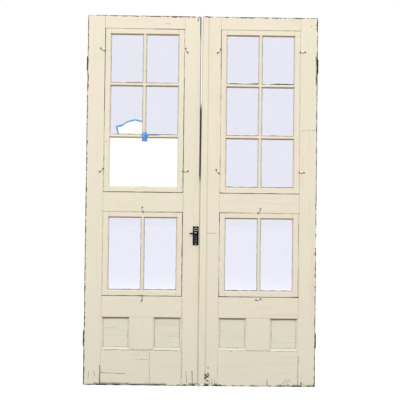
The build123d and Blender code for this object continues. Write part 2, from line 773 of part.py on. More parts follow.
def latch_lever():
    """Hub, arm and spindle of the lever; the arm points away from the meeting edge."""
    plate_face = front - latch_plate_thickness
    hub_y = (plate_face - button_off_face - lever_hub_height, plate_face - button_off_face)
    arm_y = (front - latch_standout, front - latch_standout + lever_arm_thickness)
    hub = rod_y(lever_hub_radius, (arm_y[0], hub_y[1]), spindle_x, latch_height, hub_sides)
    root, tip = lever_arm_root / 2, lever_arm_tip / 2
    end = spindle_x - lever_length
    half = [(spindle_x, root), (end + lever_tip_cut, tip), (end, tip - lever_tip_cut)]
    outline = [(x, latch_height + up) for x, up in half]
    outline += [(x, latch_height - up) for x, up in reversed(half)]
    lever = hub + prism(outline, arm_y)
    face = lever.faces().sort_by(Axis.Y)[0]
    lever = chamfer(face.edges(), arris)
    spindle_y = (hub_y[1], case_inside()[1] - bolt_play)
    return lever + rod_y(spindle_radius, spindle_y, spindle_x, latch_height, shank_sides)


def case_span():
    return grown((centre_y, centre_y), case_thickness / 2)


def case_inside():
    return grown(case_span(), -case_wall)


def case_z():
    """Height span of the latch case, hanging mostly below the spindle."""
    high = latch_height + crank_hub_radius + case_wall + overrun
    return (high - case_height, high)


def bolt_z():
    """The bolt runs under the spindle, cut by the crank's pin."""
    high = latch_height - crank_hub_radius - bolt_play
    return (high - bolt_height, high)


def latch_tools():
    """Mortise for the case, seat for its forend and hole for the spindle in the left meeting stile."""
    edge = outer_x["left"][1]
    case_x = (edge - case_length - case_play, edge + overrun)
    tools = [block(case_x, grown(case_span(), case_play), grown(case_z(), case_play))]
    forend = grown((latch_height, latch_height), forend_height / 2)
    tools.append(block((edge - forend_thickness, edge + overrun),
                       grown((centre_y, centre_y), forend_width / 2 + case_play), grown(forend, case_play)))
    spindle = (front - overrun, centre_y)
    tools.append(rod_y(around(spindle_radius + case_play), spindle, spindle_x, latch_height, shank_sides))
    return tools


def latch_case():
    """Sheet case with its forend, open where the bolt and the spindle pass."""
    edge = outer_x["left"][1]
    x = (edge - case_length, edge)
    shell = block(x, case_span(), case_z())
    hollow_x = (x[0] + case_wall, x[1] - forend_thickness)
    shell = shell - block(hollow_x, case_inside(), grown(case_z(), -case_wall))
    forend_y = grown((centre_y, centre_y), forend_width / 2)
    forend_z = grown((latch_height, latch_height), forend_height / 2)
    shell = shell + block((edge - forend_thickness, edge), forend_y, forend_z)
    bolt_y = grown((centre_y, centre_y), bolt_thickness / 2 + bolt_play)
    shell = shell - block((edge - 2 * forend_thickness, edge + overrun), bolt_y, grown(bolt_z(), bolt_play))
    spindle_hole = around(spindle_radius + spindle_play)
    return shell - rod_y(spindle_hole, (front, centre_y), spindle_x, latch_height, shank_sides)


def crank_pin_place():
    """Where the crank's pin stands at rest, turned back from straight down by half the lever's turn."""
    back_turn = math.radians(lever_turn / 2)
    across, down = crank_radius * math.sin(back_turn), crank_radius * math.cos(back_turn)
    return (spindle_x - across, latch_height - down)


def latch_cam():
    """The crank on the spindle that moves the bolt."""
    y = grown(case_inside(), -bolt_play)
    x, z = crank_pin_place()
    half = crank_arm_width / 2
    across = math.radians(lever_turn / 2)
    side_x, side_z = half * math.cos(across), half * math.sin(across)
    outline = ((spindle_x - side_x, latch_height + side_z), (spindle_x + side_x, latch_height - side_z),
               (x + side_x, z - side_z), (x - side_x, z + side_z))
    cam = rod_y(crank_hub_radius, y, spindle_x, latch_height, barrel_sides) + prism(outline, y)
    cam = cam + rod_y(crank_pin_radius, y, x, z, shank_sides)
    bore = spindle_radius + spindle_play
    return cam - rod_y(bore, grown(y, overrun), spindle_x, latch_height, shank_sides)


def latch_bolt():
    """The bolt, drawn back flush with the forend, notched for the crank."""
    edge = outer_x["left"][1]
    z = bolt_z()
    y = grown((centre_y, centre_y), bolt_thickness / 2)
    bolt = block((edge - bolt_length, edge), y, z)
    pin_x, pin_z = crank_pin_place()
    half_turn = math.radians(lever_turn / 2)
    slot = crank_pin_radius + crank_slot_play
    lean = spindle_x - pin_x - (latch_height - z[1]) * math.tan(half_turn)
    mouth = lean + crank_arm_width / 2 / math.cos(half_turn) + crank_slot_play
    deepest = latch_height - crank_radius - slot
    notch = ((pin_x - slot, deepest), (pin_x - slot, pin_z), (pin_x - mouth, z[1] + overrun),
             (pin_x + mouth, z[1] + overrun), (pin_x + slot, pin_z), (pin_x + slot, deepest))
    return bolt - prism(notch, grown(y, overrun))


def strike_pocket():
    """The pocket in the right leaf that takes the thrown bolt."""
    edge = outer_x["right"][0]
    y = grown((centre_y, centre_y), bolt_thickness / 2 + strike_play)
    return block((edge - overrun, edge + strike_depth), y, grown(bolt_z(), strike_play))


def astragal():
    """The flat strip on the right leaf's meeting stile, its inner edge rounded."""
    edge = outer_x["right"][0]
    x = (edge, edge + astragal_width)
    strip = block(x, (front - astragal_thickness, front), (0, door_height))
    corner = strip.edges().filter_by(Axis.Y).group_by(Axis.Z)[-1].sort_by(Axis.X)[0]
    strip = fillet(corner, top_corner_wear)
    nosing = strip.edges().filter_by(Axis.Z).group_by(Axis.X)[-1].sort_by(Axis.Y)[0]
    strip = fillet(nosing, astragal_round)
    return cut(strip, rot_tools("right_astragal", x, door_height))


def save(name, pieces):
    """Write one node, as one solid or as a group of separate solids."""
    solids = [solid for piece in pieces for solid in piece.solids()]
    node = solids[0] if len(solids) == 1 else Compound(children=solids)
    node.label = name
    export_step(node, os.path.join("parts", name + ".step"))


def build_leaf(side):
    """All the joinery, glass and fixings of one leaf."""
    for name, piece in door_frame(side).items():
        save(side + "_" + name, piece if isinstance(piece, list) else [piece])
    sash_x = grown(opening_x[side], -sash_play)
    lost = (empty_row,) if side == "left" else ()
    panes, putties = [], []
    for label, z, rows in (("upper", upper_z, upper_rows), ("lower", lower_z, lower_rows)):
        spare = lost if label == "upper" else ()
        made, openings = sash(sash_x, grown(z, -sash_play), light_columns, rows, spare)
        for group, pieces in made.items():
            save(side + "_" + label + "_sash_" + group, pieces)
        for place, light in openings.items():
            if place[1] in spare:
                continue
            putties.append(putty(*light))
            if side == "left" and label == "upper" and place == broken_light:
                glass = broken_pane(*light)
                save("left_broken_pane", [glass])
                crossing_x = (light[0][1], light[0][1] + bar_width)
                crossing_z = (light[1][0] - bar_width, light[1][0])
                save("left_tape", [break_tape(*light, glass), bar_tape(crossing_x, crossing_z)])
            else:
                panes.append(pane(*light))
    save(side + "_panes", panes)
    save(side + "_putty", putties)
    for place, (x, z) in button_places(side).items():
        save(side + "_button_" + place, [button(button_turn[side][place], x, z)])
    save(side + "_round_head_screws", round_screws(side))
    save(side + "_hinge_leaves", [hinge_leaf(side, height, True) for height in hinge_heights])
    save(side + "_hinge_screws", hinge_screws(side))


os.makedirs("parts", exist_ok=True)
for leaf_side in ("left", "right"):
    build_leaf(leaf_side)
sides_and_heights = [(side, height) for side in ("left", "right") for height in hinge_heights]
save("frame_hinge_leaves", [hinge_leaf(side, height, False) for side, height in sides_and_heights])
save("hinge_pins", [hinge_pin(side, height) for side, height in sides_and_heights])
save("right_astragal", [astragal()])
save("latch_plate", [latch_plate()])
save("latch_lever", [latch_lever()])
save("latch_cam", [latch_cam()])
save("latch_case", [latch_case()])
save("latch_bolt", [latch_bolt()])
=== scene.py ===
import json
import math
import bmesh
import bpy
from mathutils import Matrix, Vector, noise

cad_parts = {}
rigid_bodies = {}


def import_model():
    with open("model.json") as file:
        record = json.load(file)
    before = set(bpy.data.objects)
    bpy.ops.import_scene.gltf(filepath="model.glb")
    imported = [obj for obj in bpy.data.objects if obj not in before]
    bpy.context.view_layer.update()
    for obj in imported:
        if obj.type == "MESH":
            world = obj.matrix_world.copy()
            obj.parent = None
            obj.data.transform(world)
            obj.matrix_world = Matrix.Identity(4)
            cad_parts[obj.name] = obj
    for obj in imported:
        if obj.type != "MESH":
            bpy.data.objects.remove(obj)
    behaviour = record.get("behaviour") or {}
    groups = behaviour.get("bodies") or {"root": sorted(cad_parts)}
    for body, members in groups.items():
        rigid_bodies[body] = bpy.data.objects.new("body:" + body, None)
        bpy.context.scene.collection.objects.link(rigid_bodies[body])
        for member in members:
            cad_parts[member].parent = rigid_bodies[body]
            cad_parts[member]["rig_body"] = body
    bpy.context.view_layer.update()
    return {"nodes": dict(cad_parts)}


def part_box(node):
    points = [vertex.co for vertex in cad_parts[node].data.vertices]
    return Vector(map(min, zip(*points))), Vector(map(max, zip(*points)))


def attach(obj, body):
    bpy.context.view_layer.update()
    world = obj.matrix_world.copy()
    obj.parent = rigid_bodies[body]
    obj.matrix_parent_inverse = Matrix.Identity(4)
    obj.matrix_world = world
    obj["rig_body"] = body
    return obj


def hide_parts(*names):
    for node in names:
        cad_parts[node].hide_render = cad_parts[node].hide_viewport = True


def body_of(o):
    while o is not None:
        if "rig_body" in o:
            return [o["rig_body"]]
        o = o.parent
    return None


for old in list(bpy.data.objects):
    bpy.data.objects.remove(old)
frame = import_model()
nodes = frame["nodes"]
mm = 0.001
sides = ("left", "right")
sashes = ("upper", "lower")
axes = [Vector(row) for row in Matrix.Identity(3)]
print("frame loaded with", len(nodes), "pieces")


# places that the finishes and the added pieces are worked out from

def boundsOf(points):
    return [Vector([pick(point[axis] for point in points) for axis in range(3)]) for pick in (min, max)]


def spanOf(*names):
    return boundsOf([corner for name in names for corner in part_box(name)])


leafSpan = {side: spanOf(side + "_hinge_stile", side + "_meeting_stile") for side in sides}
sashSpan = {(side, which): spanOf(f"{side}_{which}_sash_stiles", f"{side}_{which}_sash_rails")
    for side in sides for which in sashes}
doorFront = leafSpan["left"][0].y
sashFront = sashSpan["left", "upper"][0].y
plateLow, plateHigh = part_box("latch_plate")
leverLow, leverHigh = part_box("latch_lever")
spindle = Vector(((plateLow.x + plateHigh.x) / 2, plateLow.y, (leverLow.z + leverHigh.z) / 2))


def addObject(name, data):
    made = bpy.data.objects.new(name, data)
    bpy.context.scene.collection.objects.link(made)
    return made


# camera at the photograph's angle

photoCamera = {
    "place": (-0.0573, -4.5, 1.0564),
    "yaw": 0.0111, "pitch": 0.0197, "roll": -0.0121,   # radians
    "focalPixels": 725.13, "framePixels": 400, "sensorMm": 36.0,
}


def setCamera(settings):
    yaw, pitch, roll = settings["yaw"], settings["pitch"], settings["roll"]
    forward = Vector((math.sin(yaw) * math.cos(pitch), math.cos(yaw) * math.cos(pitch), math.sin(pitch)))
    right = Vector((math.cos(yaw), -math.sin(yaw), 0))
    up = right.cross(forward)
    across = right * math.cos(roll) - up * math.sin(roll)
    above = right * math.sin(roll) + up * math.cos(roll)
    data = bpy.data.cameras.new("photoCamera")
    data.sensor_width = settings["sensorMm"]
    data.lens = settings["sensorMm"] * settings["focalPixels"] / settings["framePixels"]
    data.dof.use_dof = False
    camera = addObject("photoCamera", data)
    turn = Matrix((across, above, -forward)).transposed().to_4x4()
    camera.matrix_world = Matrix.Translation(settings["place"]) @ turn
    bpy.context.scene.camera = camera


setCamera(photoCamera)
bpy.context.scene.view_settings.view_transform = "Standard"
print("camera set")


# small helpers for node trees

class Wire:
    # an output of a node; sums with it add math nodes to its tree
    def __init__(self, socket):
        self.socket = socket
        self.tree = socket.id_data

    def __add__(self, other):
        return calc("ADD", self, other)

    def __sub__(self, other):
        return calc("SUBTRACT", self, other)

    def __rsub__(self, other):
        return calc("SUBTRACT", other, self)

    def __mul__(self, other):
        return calc("MULTIPLY", self, other)

    def __truediv__(self, other):
        return calc("DIVIDE", self, other)

    __rmul__ = __mul__


class Wires:
    # the outputs of a node, by name or number
    def __init__(self, outputs):
        self.outputs = outputs

    def __getitem__(self, key):
        return Wire(self.outputs[key])


def feed(socket, value):
    wires = value if isinstance(value, tuple) else (value,)
    if isinstance(wires[0], Wire):
        for wire in wires:
            wire.tree.links.new(wire.socket, socket)
    else:
        socket.default_value = value


def fill(sockets, values):
    for key, value in values.items():
        feed(sockets[key], value)


def addNode(tree, kind, inputs=None, **settings):
    made = tree.nodes.new(kind)
    for key, value in settings.items():
        setattr(made, key, value)
    fill(made.inputs, inputs or {})
    return Wires(made.outputs)


def treeOf(values):
    return next(value.tree for value in values if isinstance(value, Wire))


def calc(operation, *values, clamp=False):
    inputs = dict(enumerate(values))
    return addNode(treeOf(values), "ShaderNodeMath", inputs, operation=operation, use_clamp=clamp)[0]


def most(first, *others):
    for other in others:
        first = calc("MAXIMUM", first, other)
    return first


def absolute(value):
    return calc("ABSOLUTE", value)


def vectorCalc(operation, *values):
    made = addNode(treeOf(values), "ShaderNodeVectorMath", dict(enumerate(values)), operation=operation)
    return made["Value" if operation in ("LENGTH", "DOT_PRODUCT", "DISTANCE") else 0]


def parts(vector):
    return addNode(vector.tree, "ShaderNodeSeparateXYZ", {0: vector})


def joined(tree, x=0.0, y=0.0, z=0.0):
    return addNode(tree, "ShaderNodeCombineXYZ", {0: x, 1: y, 2: z})[0]


def facingParts(tree):
    # the surface direction in the piece's own frame, so that it swings with the leaf
    normal = addNode(tree, "ShaderNodeNewGeometry")["Normal"]
    return parts(addNode(tree, "ShaderNodeVectorTransform", {0: normal}, vector_type="NORMAL",
            convert_from="WORLD", convert_to="OBJECT")[0])


def ramp(value, low, high, start=0.0, end=1.0):
    inputs = {"Value": value, "From Min": low, "From Max": high, "To Min": start, "To Max": end}
    return addNode(value.tree, "ShaderNodeMapRange", inputs, interpolation_type="SMOOTHSTEP")["Result"]


def tint(mask, under, over):
    return addNode(mask.tree, "ShaderNodeMix", {0: mask, 6: under, 7: over}, data_type="RGBA")[2]


def cloud(where, scale, detail=3.0, roughness=0.55, distortion=0.0):
    inputs = dict(Vector=where, Scale=scale, Detail=detail, Roughness=roughness, Distortion=distortion)
    return addNode(where.tree, "ShaderNodeTexNoise", inputs)["Fac"]


def bump(height, strength, distance):
    inputs = dict(Height=height, Strength=strength, Distance=distance)
    return addNode(height.tree, "ShaderNodeBump", inputs)["Normal"]


def srgb(red, green, blue):
    def linear(value):
        share = value / 255
        return share / 12.92 if share <= 0.04045 else ((share + 0.055) / 1.055) ** 2.4
    return (linear(red), linear(green), linear(blue), 1.0)


def makeGroup(name, recipe, inputs, *outputs, kind="Shader"):
    # inputs are listed by kind, in the order that the recipe takes them
    tree = bpy.data.node_groups.new(name, kind + "NodeTree")
    for socketKind, labels in inputs.items():
        for label in labels:
            tree.interface.new_socket(label, in_out="INPUT", socket_type="NodeSocket" + socketKind)
    for label in outputs:
        socketKind = "Float" if kind == "Shader" else kind
        tree.interface.new_socket(label, in_out="OUTPUT", socket_type="NodeSocket" + socketKind)
    given = addNode(tree, "NodeGroupInput")
    made = recipe(*[given[label] for labels in inputs.values() for label in labels])
    made = made if isinstance(made, tuple) else (made,)
    fill(tree.nodes.new("NodeGroupOutput").inputs, dict(zip(outputs, made)))
    return tree


def useGroup(group, **inputs):
    return addNode(treeOf(inputs.values()), "ShaderNodeGroup", inputs, node_tree=group)


def makeFinish(name, recipe, *details):
    material = bpy.data.materials.new(name)
    material.use_nodes = True
    tree = material.node_tree
    where = addNode(tree, "ShaderNodeTexCoord")["Object"]
    fill(tree.nodes["Principled BSDF"].inputs, recipe(where, *details))
    return material


# effects shared by several finishes

def grainRecipe(coordinates, stretch):
    along = vectorCalc("MULTIPLY", coordinates, stretch)
    height = cloud(along, 1.0, 4.0, 0.6, 0.4) * 0.6 + cloud(along, 3.7, 5.0, 0.7) * 0.4
    return height, ramp(height, 0.52, 0.68)


def outlineRecipe(coordinates, centre, half):
    offset = vectorCalc("SUBTRACT", coordinates, centre)
    past = parts(vectorCalc("SUBTRACT", vectorCalc("ABSOLUTE", offset), half))
    share = parts(vectorCalc("DIVIDE", offset, half))
    return most(past["X"], past["Z"]), share["X"], share["Z"]


def brokenRecipe(coordinates, distance, reach, scale, gaps, softness):
    share = (cloud(coordinates, scale, 6.0, 0.65) - gaps) / (1 - gaps)
    return calc("DIVIDE", share * (reach * 2.0) - absolute(distance), softness, clamp=True)


def footRecipe(coordinates, rise):
    drift = cloud(coordinates, 5.0, 4.0) * 0.5 - 0.25
    return ramp(parts(coordinates)["Z"] / rise + drift, 1.0, 0.0)


def hairRecipe(coordinates, scale, width):
    cells = addNode(coordinates.tree, "ShaderNodeTexVoronoi", dict(Vector=coordinates, Scale=scale),
        feature="DISTANCE_TO_EDGE")["Distance"]
    return ramp(cells, width, 0.0) * ramp(cloud(coordinates, 24.0, 4.0), 0.45, 0.6)


def wearRecipe(coordinates, radius, scale, amount):
    rounded = addNode(radius.tree, "ShaderNodeBevel", dict(Radius=radius), samples=6)["Normal"]
    flat = addNode(radius.tree, "ShaderNodeNewGeometry")["Normal"]
    edge = ramp(1 - vectorCalc("DOT_PRODUCT", rounded, flat), 0.02, 0.2)
    kept = cloud(coordinates, scale, 5.0, 0.65) - (1 - amount)
    return edge * calc("MULTIPLY", kept, 8.0, clamp=True)


def crackRecipe(point, start, end, pieces, width, dashes):
    # a line between two points of the front; the point has no depth, and pieces breaks the line up
    run = vectorCalc("SUBTRACT", end, start)
    reach = vectorCalc("SUBTRACT", point, start)
    share = calc("DIVIDE", *[vectorCalc("DOT_PRODUCT", vector, run) for vector in (reach, run)], clamp=True)
    step = addNode(run.tree, "ShaderNodeVectorMath", {0: run, "Scale": share}, operation="SCALE")[0]
    away = vectorCalc("LENGTH", vectorCalc("SUBTRACT", reach, step))
    return ramp(away, width, 0.0) * ramp(pieces, dashes, dashes + 0.12)


def maskGroup(name, recipe, vectors, *numbers):
    return makeGroup(name, recipe, dict(Vector=vectors, Float=numbers), "Mask")


woodGrain = makeGroup("woodGrain", grainRecipe, dict(Vector=["Coordinates", "Stretch"]), "Height", "Streak")
outlineDistance = makeGroup("outlineDistance", outlineRecipe, dict(Vector=["Coordinates", "Centre", "Half"]),
    "Distance", "Across", "Up")
brokenLine = maskGroup("brokenLine", brokenRecipe, ["Coordinates"], "Distance", "Reach", "Scale", "Gaps",
    "Softness")
footWeather = maskGroup("footWeather", footRecipe, ["Coordinates"], "Rise")
hairCracks = maskGroup("hairCracks", hairRecipe, ["Coordinates"], "Scale", "Width")
edgeWear = maskGroup("edgeWear", wearRecipe, ["Coordinates"], "Radius", "Scale", "Amount")
crackLine = maskGroup("crackLine", crackRecipe, ["Point", "Start", "End"], "Pieces", "Width", "Dashes")
print("shared effects built")


def outlineOf(where, low, high):
    return useGroup(outlineDistance, Coordinates=where, Centre=(low + high) / 2, Half=(high - low) / 2)


def raggedLine(where, distance, reach, scale, gaps, softness):
    return useGroup(brokenLine, Distance=distance, Coordinates=where, Reach=reach, Scale=scale, Gaps=gaps,
            Softness=softness)["Mask"]


def wear(where, radius, scale, amount):
    return useGroup(edgeWear, Coordinates=where, Radius=radius, Scale=scale, Amount=amount)["Mask"]


# old cream paint on the joinery

creamPaint = {
    "cream": srgb(238, 230, 209), "warm": srgb(239, 227, 208), "cool": srgb(232, 228, 205), "coolShare": 0.6,
    "feet": srgb(229, 226, 207), "feetShare": 0.6, "feetRise": 0.95, "olive": srgb(178, 160, 100),
    "streaks": 0.16, "gold": srgb(204, 182, 116), "goldShare": 0.45, "shade": srgb(150, 120, 60),
    "shadeShare": 0.75, "gapDirt": srgb(84, 74, 52), "bareWood": srgb(32, 28, 22), "rot": srgb(20, 18, 16),
    "roughness": 0.5, "wornRoughness": 0.95, "specular": 0.15, "bump": 0.5, "bumpDepth": 0.7 * mm,
    "grainAlong": 2.2, "grainAcross": 42.0,          # noise stretch along and across the board
    "gapReach": 4.4 * mm, "panelReach": 5 * mm, "panelShare": 0.6, "panelTop": 0.5, "wornShare": 0.5,
    "lossReach": 12 * mm, "lossGaps": 0.375, "rotReach": 5 * mm, "rotGaps": 0.4, "crackSway": 14 * mm,
    # the edge that meets the other leaf: heights where it is black, as painted shade of the gap, and the lip
    # on the front of it, darkened as painted shade too
    "darkFrom": 1.22, "darkTo": 1.77, "darkFade": 0.09, "edgeDark": srgb(44, 38, 31),
    "edgeLow": srgb(214, 200, 160), "lip": (-6 * mm, -3.5 * mm), "lipShare": {"left": 1.0, "right": 0.25},
    "wider": 3.5 * mm, "widerFrom": (2.1, 2.2),
    # the other edges, where the paint has flaked off the wood
    "edgeWood": srgb(128, 109, 82), "edgeGrain": srgb(84, 68, 48), "flakes": (0.45, 0.49),
    "flakeReach": (-6 * mm, -4 * mm),
}
panelPaint = dict(creamPaint, cream=srgb(234, 229, 211), warm=srgb(234, 227, 209), cool=srgb(222, 222, 203),
    shade=srgb(86, 76, 52), shadeShare=0.9, grainAlong=2.6, grainAcross=60.0, streaks=0.36,
    bump=0.9, bumpDepth=1.1 * mm)

# how dark the painted shade and dirt beside the open line is on each side of a sash
gapLines = {
    ("left", "upper"): {"left": 0.6, "right": 0.7, "below": 1.0, "above": 0.25},
    ("left", "lower"): {"left": 0.35, "right": 1.0, "below": 1.0, "above": 0.4},
    ("right", "upper"): {"left": 0.5, "right": 0.15, "below": 1.0, "above": 0.15},
    ("right", "lower"): {"left": 0.75, "right": 0.4, "below": 1.0, "above": 0.4},
}

# cracks, open joints and rot that show one by one, in the upright and the level boards: start and end
# across and up the front, then the width, all in mm, and how broken the line is
knownCracks = {
    ("left", "upright"): (
        (-681, 80, -680, 38, 2.4, 0.32), (-650, 86, -641, 54, 2.4, 0.32), (-612, 120, -611, 2, 4.4, 0.20),
        (-80, 91, -79, 19, 2.4, 0.30), (-44, 92, -43, 6, 3.8, 0.20), (-109, 526, -107, 12, 1.6, 0.40),
        (-640, 3, -612, 2, 20.0, 0.15), (-60, 2, -12, 2, 20.0, 0.34), (-713, 620, -713, 30, 7.0, 0.36),
        (-713, 108, -713, 40, 11.0, 0.25), (-713, 2270, -713, 640, 6.0, 0.40),
        (-31, 918, -31, 896, 12.0, 0.0), (-30, 2285, -30, 2258, 6.0, 0.10)),
    ("left", "level"): (
        (-606, 78, -456, 71, 2.4, 0.26), (-408, 162, -316, 155, 1.6, 0.34), (-309, 205, -307, 10, 1.6, 0.34),
        (-232, 2237, -202, 2235, 1.8, 0.20), (-606, 217, -112, 214, 2.2, 0.36),
        (-606, 2, -205, 1, 15.0, 0.16), (-606, 2, -440, 1, 22.0, 0.16), (-330, 1, -215, 1, 20.0, 0.25)),
    ("right", "upright"): (
        (34, 70, 40, 68, 9.0, 0.0), (42, 62, 54, 58, 11.0, 0.25), (55, 76, 60, 68, 8.0, 0.20),
        (35, 52, 38, 46, 10.0, 0.20), (47, 34, 57, 31, 8.0, 0.25), (53, 112, 55, 110, 6.0, 0.0),
        (80, 44, 80, 4, 2.4, 0.32), (97, 40, 99, 4, 2.4, 0.30), (107, 102, 110, 84, 4.5, 0.42),
        (611, 190, 610, 2, 2.6, 0.32), (630, 28, 631, 0, 7.0, 0.20), (-4, 2, 66, 2, 20.0, 0.36),
        (612, 2, 700, 2, 17.0, 0.42), (712, 2040, 712, 1876, 13.0, 0.0), (713, 2275, 713, 1000, 6.0, 0.37),
        (713, 540, 713, 12, 6.0, 0.40), (100, 3, 108, 3, 18.0, 0.20), (656, 2222, 672, 2232, 4.0, 0.40),
        (624, 1581, 703, 1585, 2.2, 0.44), (36, 941, 94, 939, 1.8, 0.38)),
    ("right", "level"): (
        (419, 42, 419, 0, 3.6, 0.20), (512, 18, 540, 44, 2.4, 0.34), (536, 20, 560, 44, 2.4, 0.34),
        (112, 217, 606, 216, 1.6, 0.42), (486, 1, 606, 1, 17.0, 0.42)),
}


def sashLines(where, side, look):
    # painted shade and dirt beside the open lines round the two sashes of a leaf
    dirt = 0.0
    for which in sashes:
        outline = outlineOf(where, *sashSpan[side, which])
        near = {"left": ramp(outline["Across"], -0.96, -0.98), "right": ramp(outline["Across"], 0.96, 0.98),
                "below": ramp(outline["Up"], -0.98, -0.99), "above": ramp(outline["Up"], 0.98, 0.99)}
        strength = most(*[near[edge] * share for edge, share in gapLines[side, which].items()])
        line = raggedLine(where, outline["Distance"], look["gapReach"], 9.0, 0.36, 1.5 * mm)
        dirt = most(line * strength, dirt)
    return dirt


def panelLines(where, side, look):
    # painted shade and dirt where the two panels of a leaf run into the joinery round them
    members = ("hinge_stile", "panel_mullion", "meeting_stile")
    posts = sorted((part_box(f"{side}_{member}") for member in members), key=lambda box: box[0].x)
    bottom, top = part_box(side + "_bottom_rail")[1].z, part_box(side + "_middle_rail")[0].z
    dirt = 0.0
    for before, after in zip(posts, posts[1:]):
        outline = outlineOf(where, Vector((before[1].x, 0.0, bottom)), Vector((after[0].x, 0.0, top)))
        line = raggedLine(where, outline["Distance"], look["panelReach"], 12.0, 0.3, 2.0 * mm)
        dirt = most(line * look["panelShare"], dirt)
    return dirt


def crackMask(where, cracks, look):
    bend = addNode(where.tree, "ShaderNodeTexNoise", {"Vector": where, "Scale": 14.0, "Detail": 3.0})["Color"]
    sway = vectorCalc("MULTIPLY", vectorCalc("SUBTRACT", bend, (0.5, 0.5, 0.5)), [look["crackSway"]] * 3)
    point = vectorCalc("MULTIPLY", vectorCalc("ADD", where, sway), (1.0, 0.0, 1.0))
    pieces = cloud(where, 60.0)
    mask = 0.0
    for startX, startZ, endX, endZ, width, dashes in cracks:
        line = useGroup(crackLine, Point=point, Pieces=pieces, Start=Vector((startX, 0.0, startZ)) * mm,
                End=Vector((endX, 0.0, endZ)) * mm, Width=width * mm, Dashes=dashes)["Mask"]
        mask = most(line, mask)
    return mask


def paintRecipe(where, side, label, look):
    stretch = [look["grainAcross"]] * 3
    stretch[2 if label == "upright" else 0] = look["grainAlong"]
    grain = useGroup(woodGrain, Coordinates=where, Stretch=stretch)
    grime = useGroup(footWeather, Coordinates=where, Rise=look["feetRise"])["Mask"]
    facing = facingParts(where.tree)
    height = parts(where)["Z"]

    # brush-marked cream with slow drifts of tone, greyer towards the feet, and a warm painted shade on the
    # sides
    patch = ramp(cloud(vectorCalc("ADD", where, (7.0, 3.0, 5.0)), 6.5, 4.0), 0.42, 0.66)
    aside = ramp(absolute(facing["X"]), 0.8, 0.95)
    colour = tint(ramp(cloud(where, 3.1), 0.38, 0.62), look["warm"], look["cream"])
    for mask, share, tone in ((patch, "coolShare", "cool"), (grime, "feetShare", "feet"),
            (grain["Streak"], "streaks", "olive"), (aside, "goldShare", "gold")):
        colour = tint(mask * look[share], colour, look[tone])

    # painted shade on the undersides, darker and greyer on the panel tops low down; painted shade and dirt
    # beside the open lines and where the panels meet the joinery; dirt on worn arrises
    shade = tint(ramp(height, look["panelTop"], look["panelTop"] - 0.05), look["shade"], look["gapDirt"])
    colour = tint(ramp(facing["Z"], -0.2, -0.7) * look["shadeShare"], colour, shade)
    lines = panelLines(where, side, look) if label == "panel" else sashLines(where, side, look)
    colour = tint(lines, colour, look["gapDirt"])
    colour = tint(wear(where, 2.5 * mm, 35.0, 0.55) * look["wornShare"], colour, look["gapDirt"])

    # the edge that meets the other leaf: pale low down, black above the latch as painted shade of the gap on
    # the edge and on the lip in front, bare beside the open gap
    outline = outlineOf(where, *leafSpan[side])
    inner = 1.0 if side == "left" else -1.0
    meeting = ramp(outline["Across"] * inner, 0.95, 0.96)
    upper = ramp(height, look["darkFrom"], look["darkFrom"] + look["darkFade"])
    wider = ramp(height, *look["widerFrom"], 0.0, look["wider"])
    lip = ramp(outline["Distance"] + wider, *look["lip"]) * look["lipShare"][side]
    edgeFace = ramp(facing["X"] * inner, 0.4, 0.7)
    dark = most(edgeFace, lip * upper) * meeting
    edgeWood = tint(ramp(grain["Height"], 0.42, 0.58), look["edgeWood"], look["edgeGrain"])
    openTop = ramp(height, look["darkTo"], look["darkTo"] + look["darkFade"]) * edgeFace
    # in the dark band the lip takes the rot colour and the edge face a dark brown, both as painted shade
    black = tint(openTop, tint(edgeFace, look["rot"], look["edgeDark"]), edgeWood)
    colour = tint(dark, colour, tint(upper, look["edgeLow"], black))

    # cracks, paint lost along the rest of the outline and flaked off the edges, and the rotten foot
    apart = 1 - meeting
    sideways = ramp(absolute(facing["Y"]), 0.45, 0.2) * most(apart, openTop)
    cracks = crackMask(where, knownCracks.get((side, label), ()), look) * ramp(facing["Y"], -0.3, -0.6)
    loss = raggedLine(where, outline["Distance"], look["lossReach"], 26.0, look["lossGaps"], 1.0 * mm) * apart
    flaked = ramp(cloud(where, 11.0, 6.0, 0.65), *look["flakes"])
    flaked = flaked * ramp(outline["Distance"], *look["flakeReach"])
    rot = raggedLine(where, height, look["rotReach"], 12.0, look["rotGaps"], 2.5 * mm)
    colour = tint(cracks * 0.95, colour, look["bareWood"])
    colour = tint(loss * 0.9 * (1 - sideways), colour, look["bareWood"])
    colour = tint(flaked * sideways, colour, edgeWood)
    bare = most(loss, rot, cracks)
    sheen = grain["Height"] * 0.2 + (look["roughness"] - 0.1)
    return {"Base Color": tint(rot, colour, look["rot"]), "Specular IOR Level": look["specular"],
        "Roughness": most(bare, dark) * (look["wornRoughness"] - look["roughness"]) + sheen,
        "Normal": bump(bare * -0.9 + grain["Height"], look["bump"], look["bumpDepth"])}


finishes = {(side, label): makeFinish(f"{side}Paint.{label}", paintRecipe, side, label, look)
    for side in sides
    for label, look in (("upright", creamPaint), ("level", creamPaint), ("panel", panelPaint))}
print("paint mixed")


# glass, putty, tape and iron

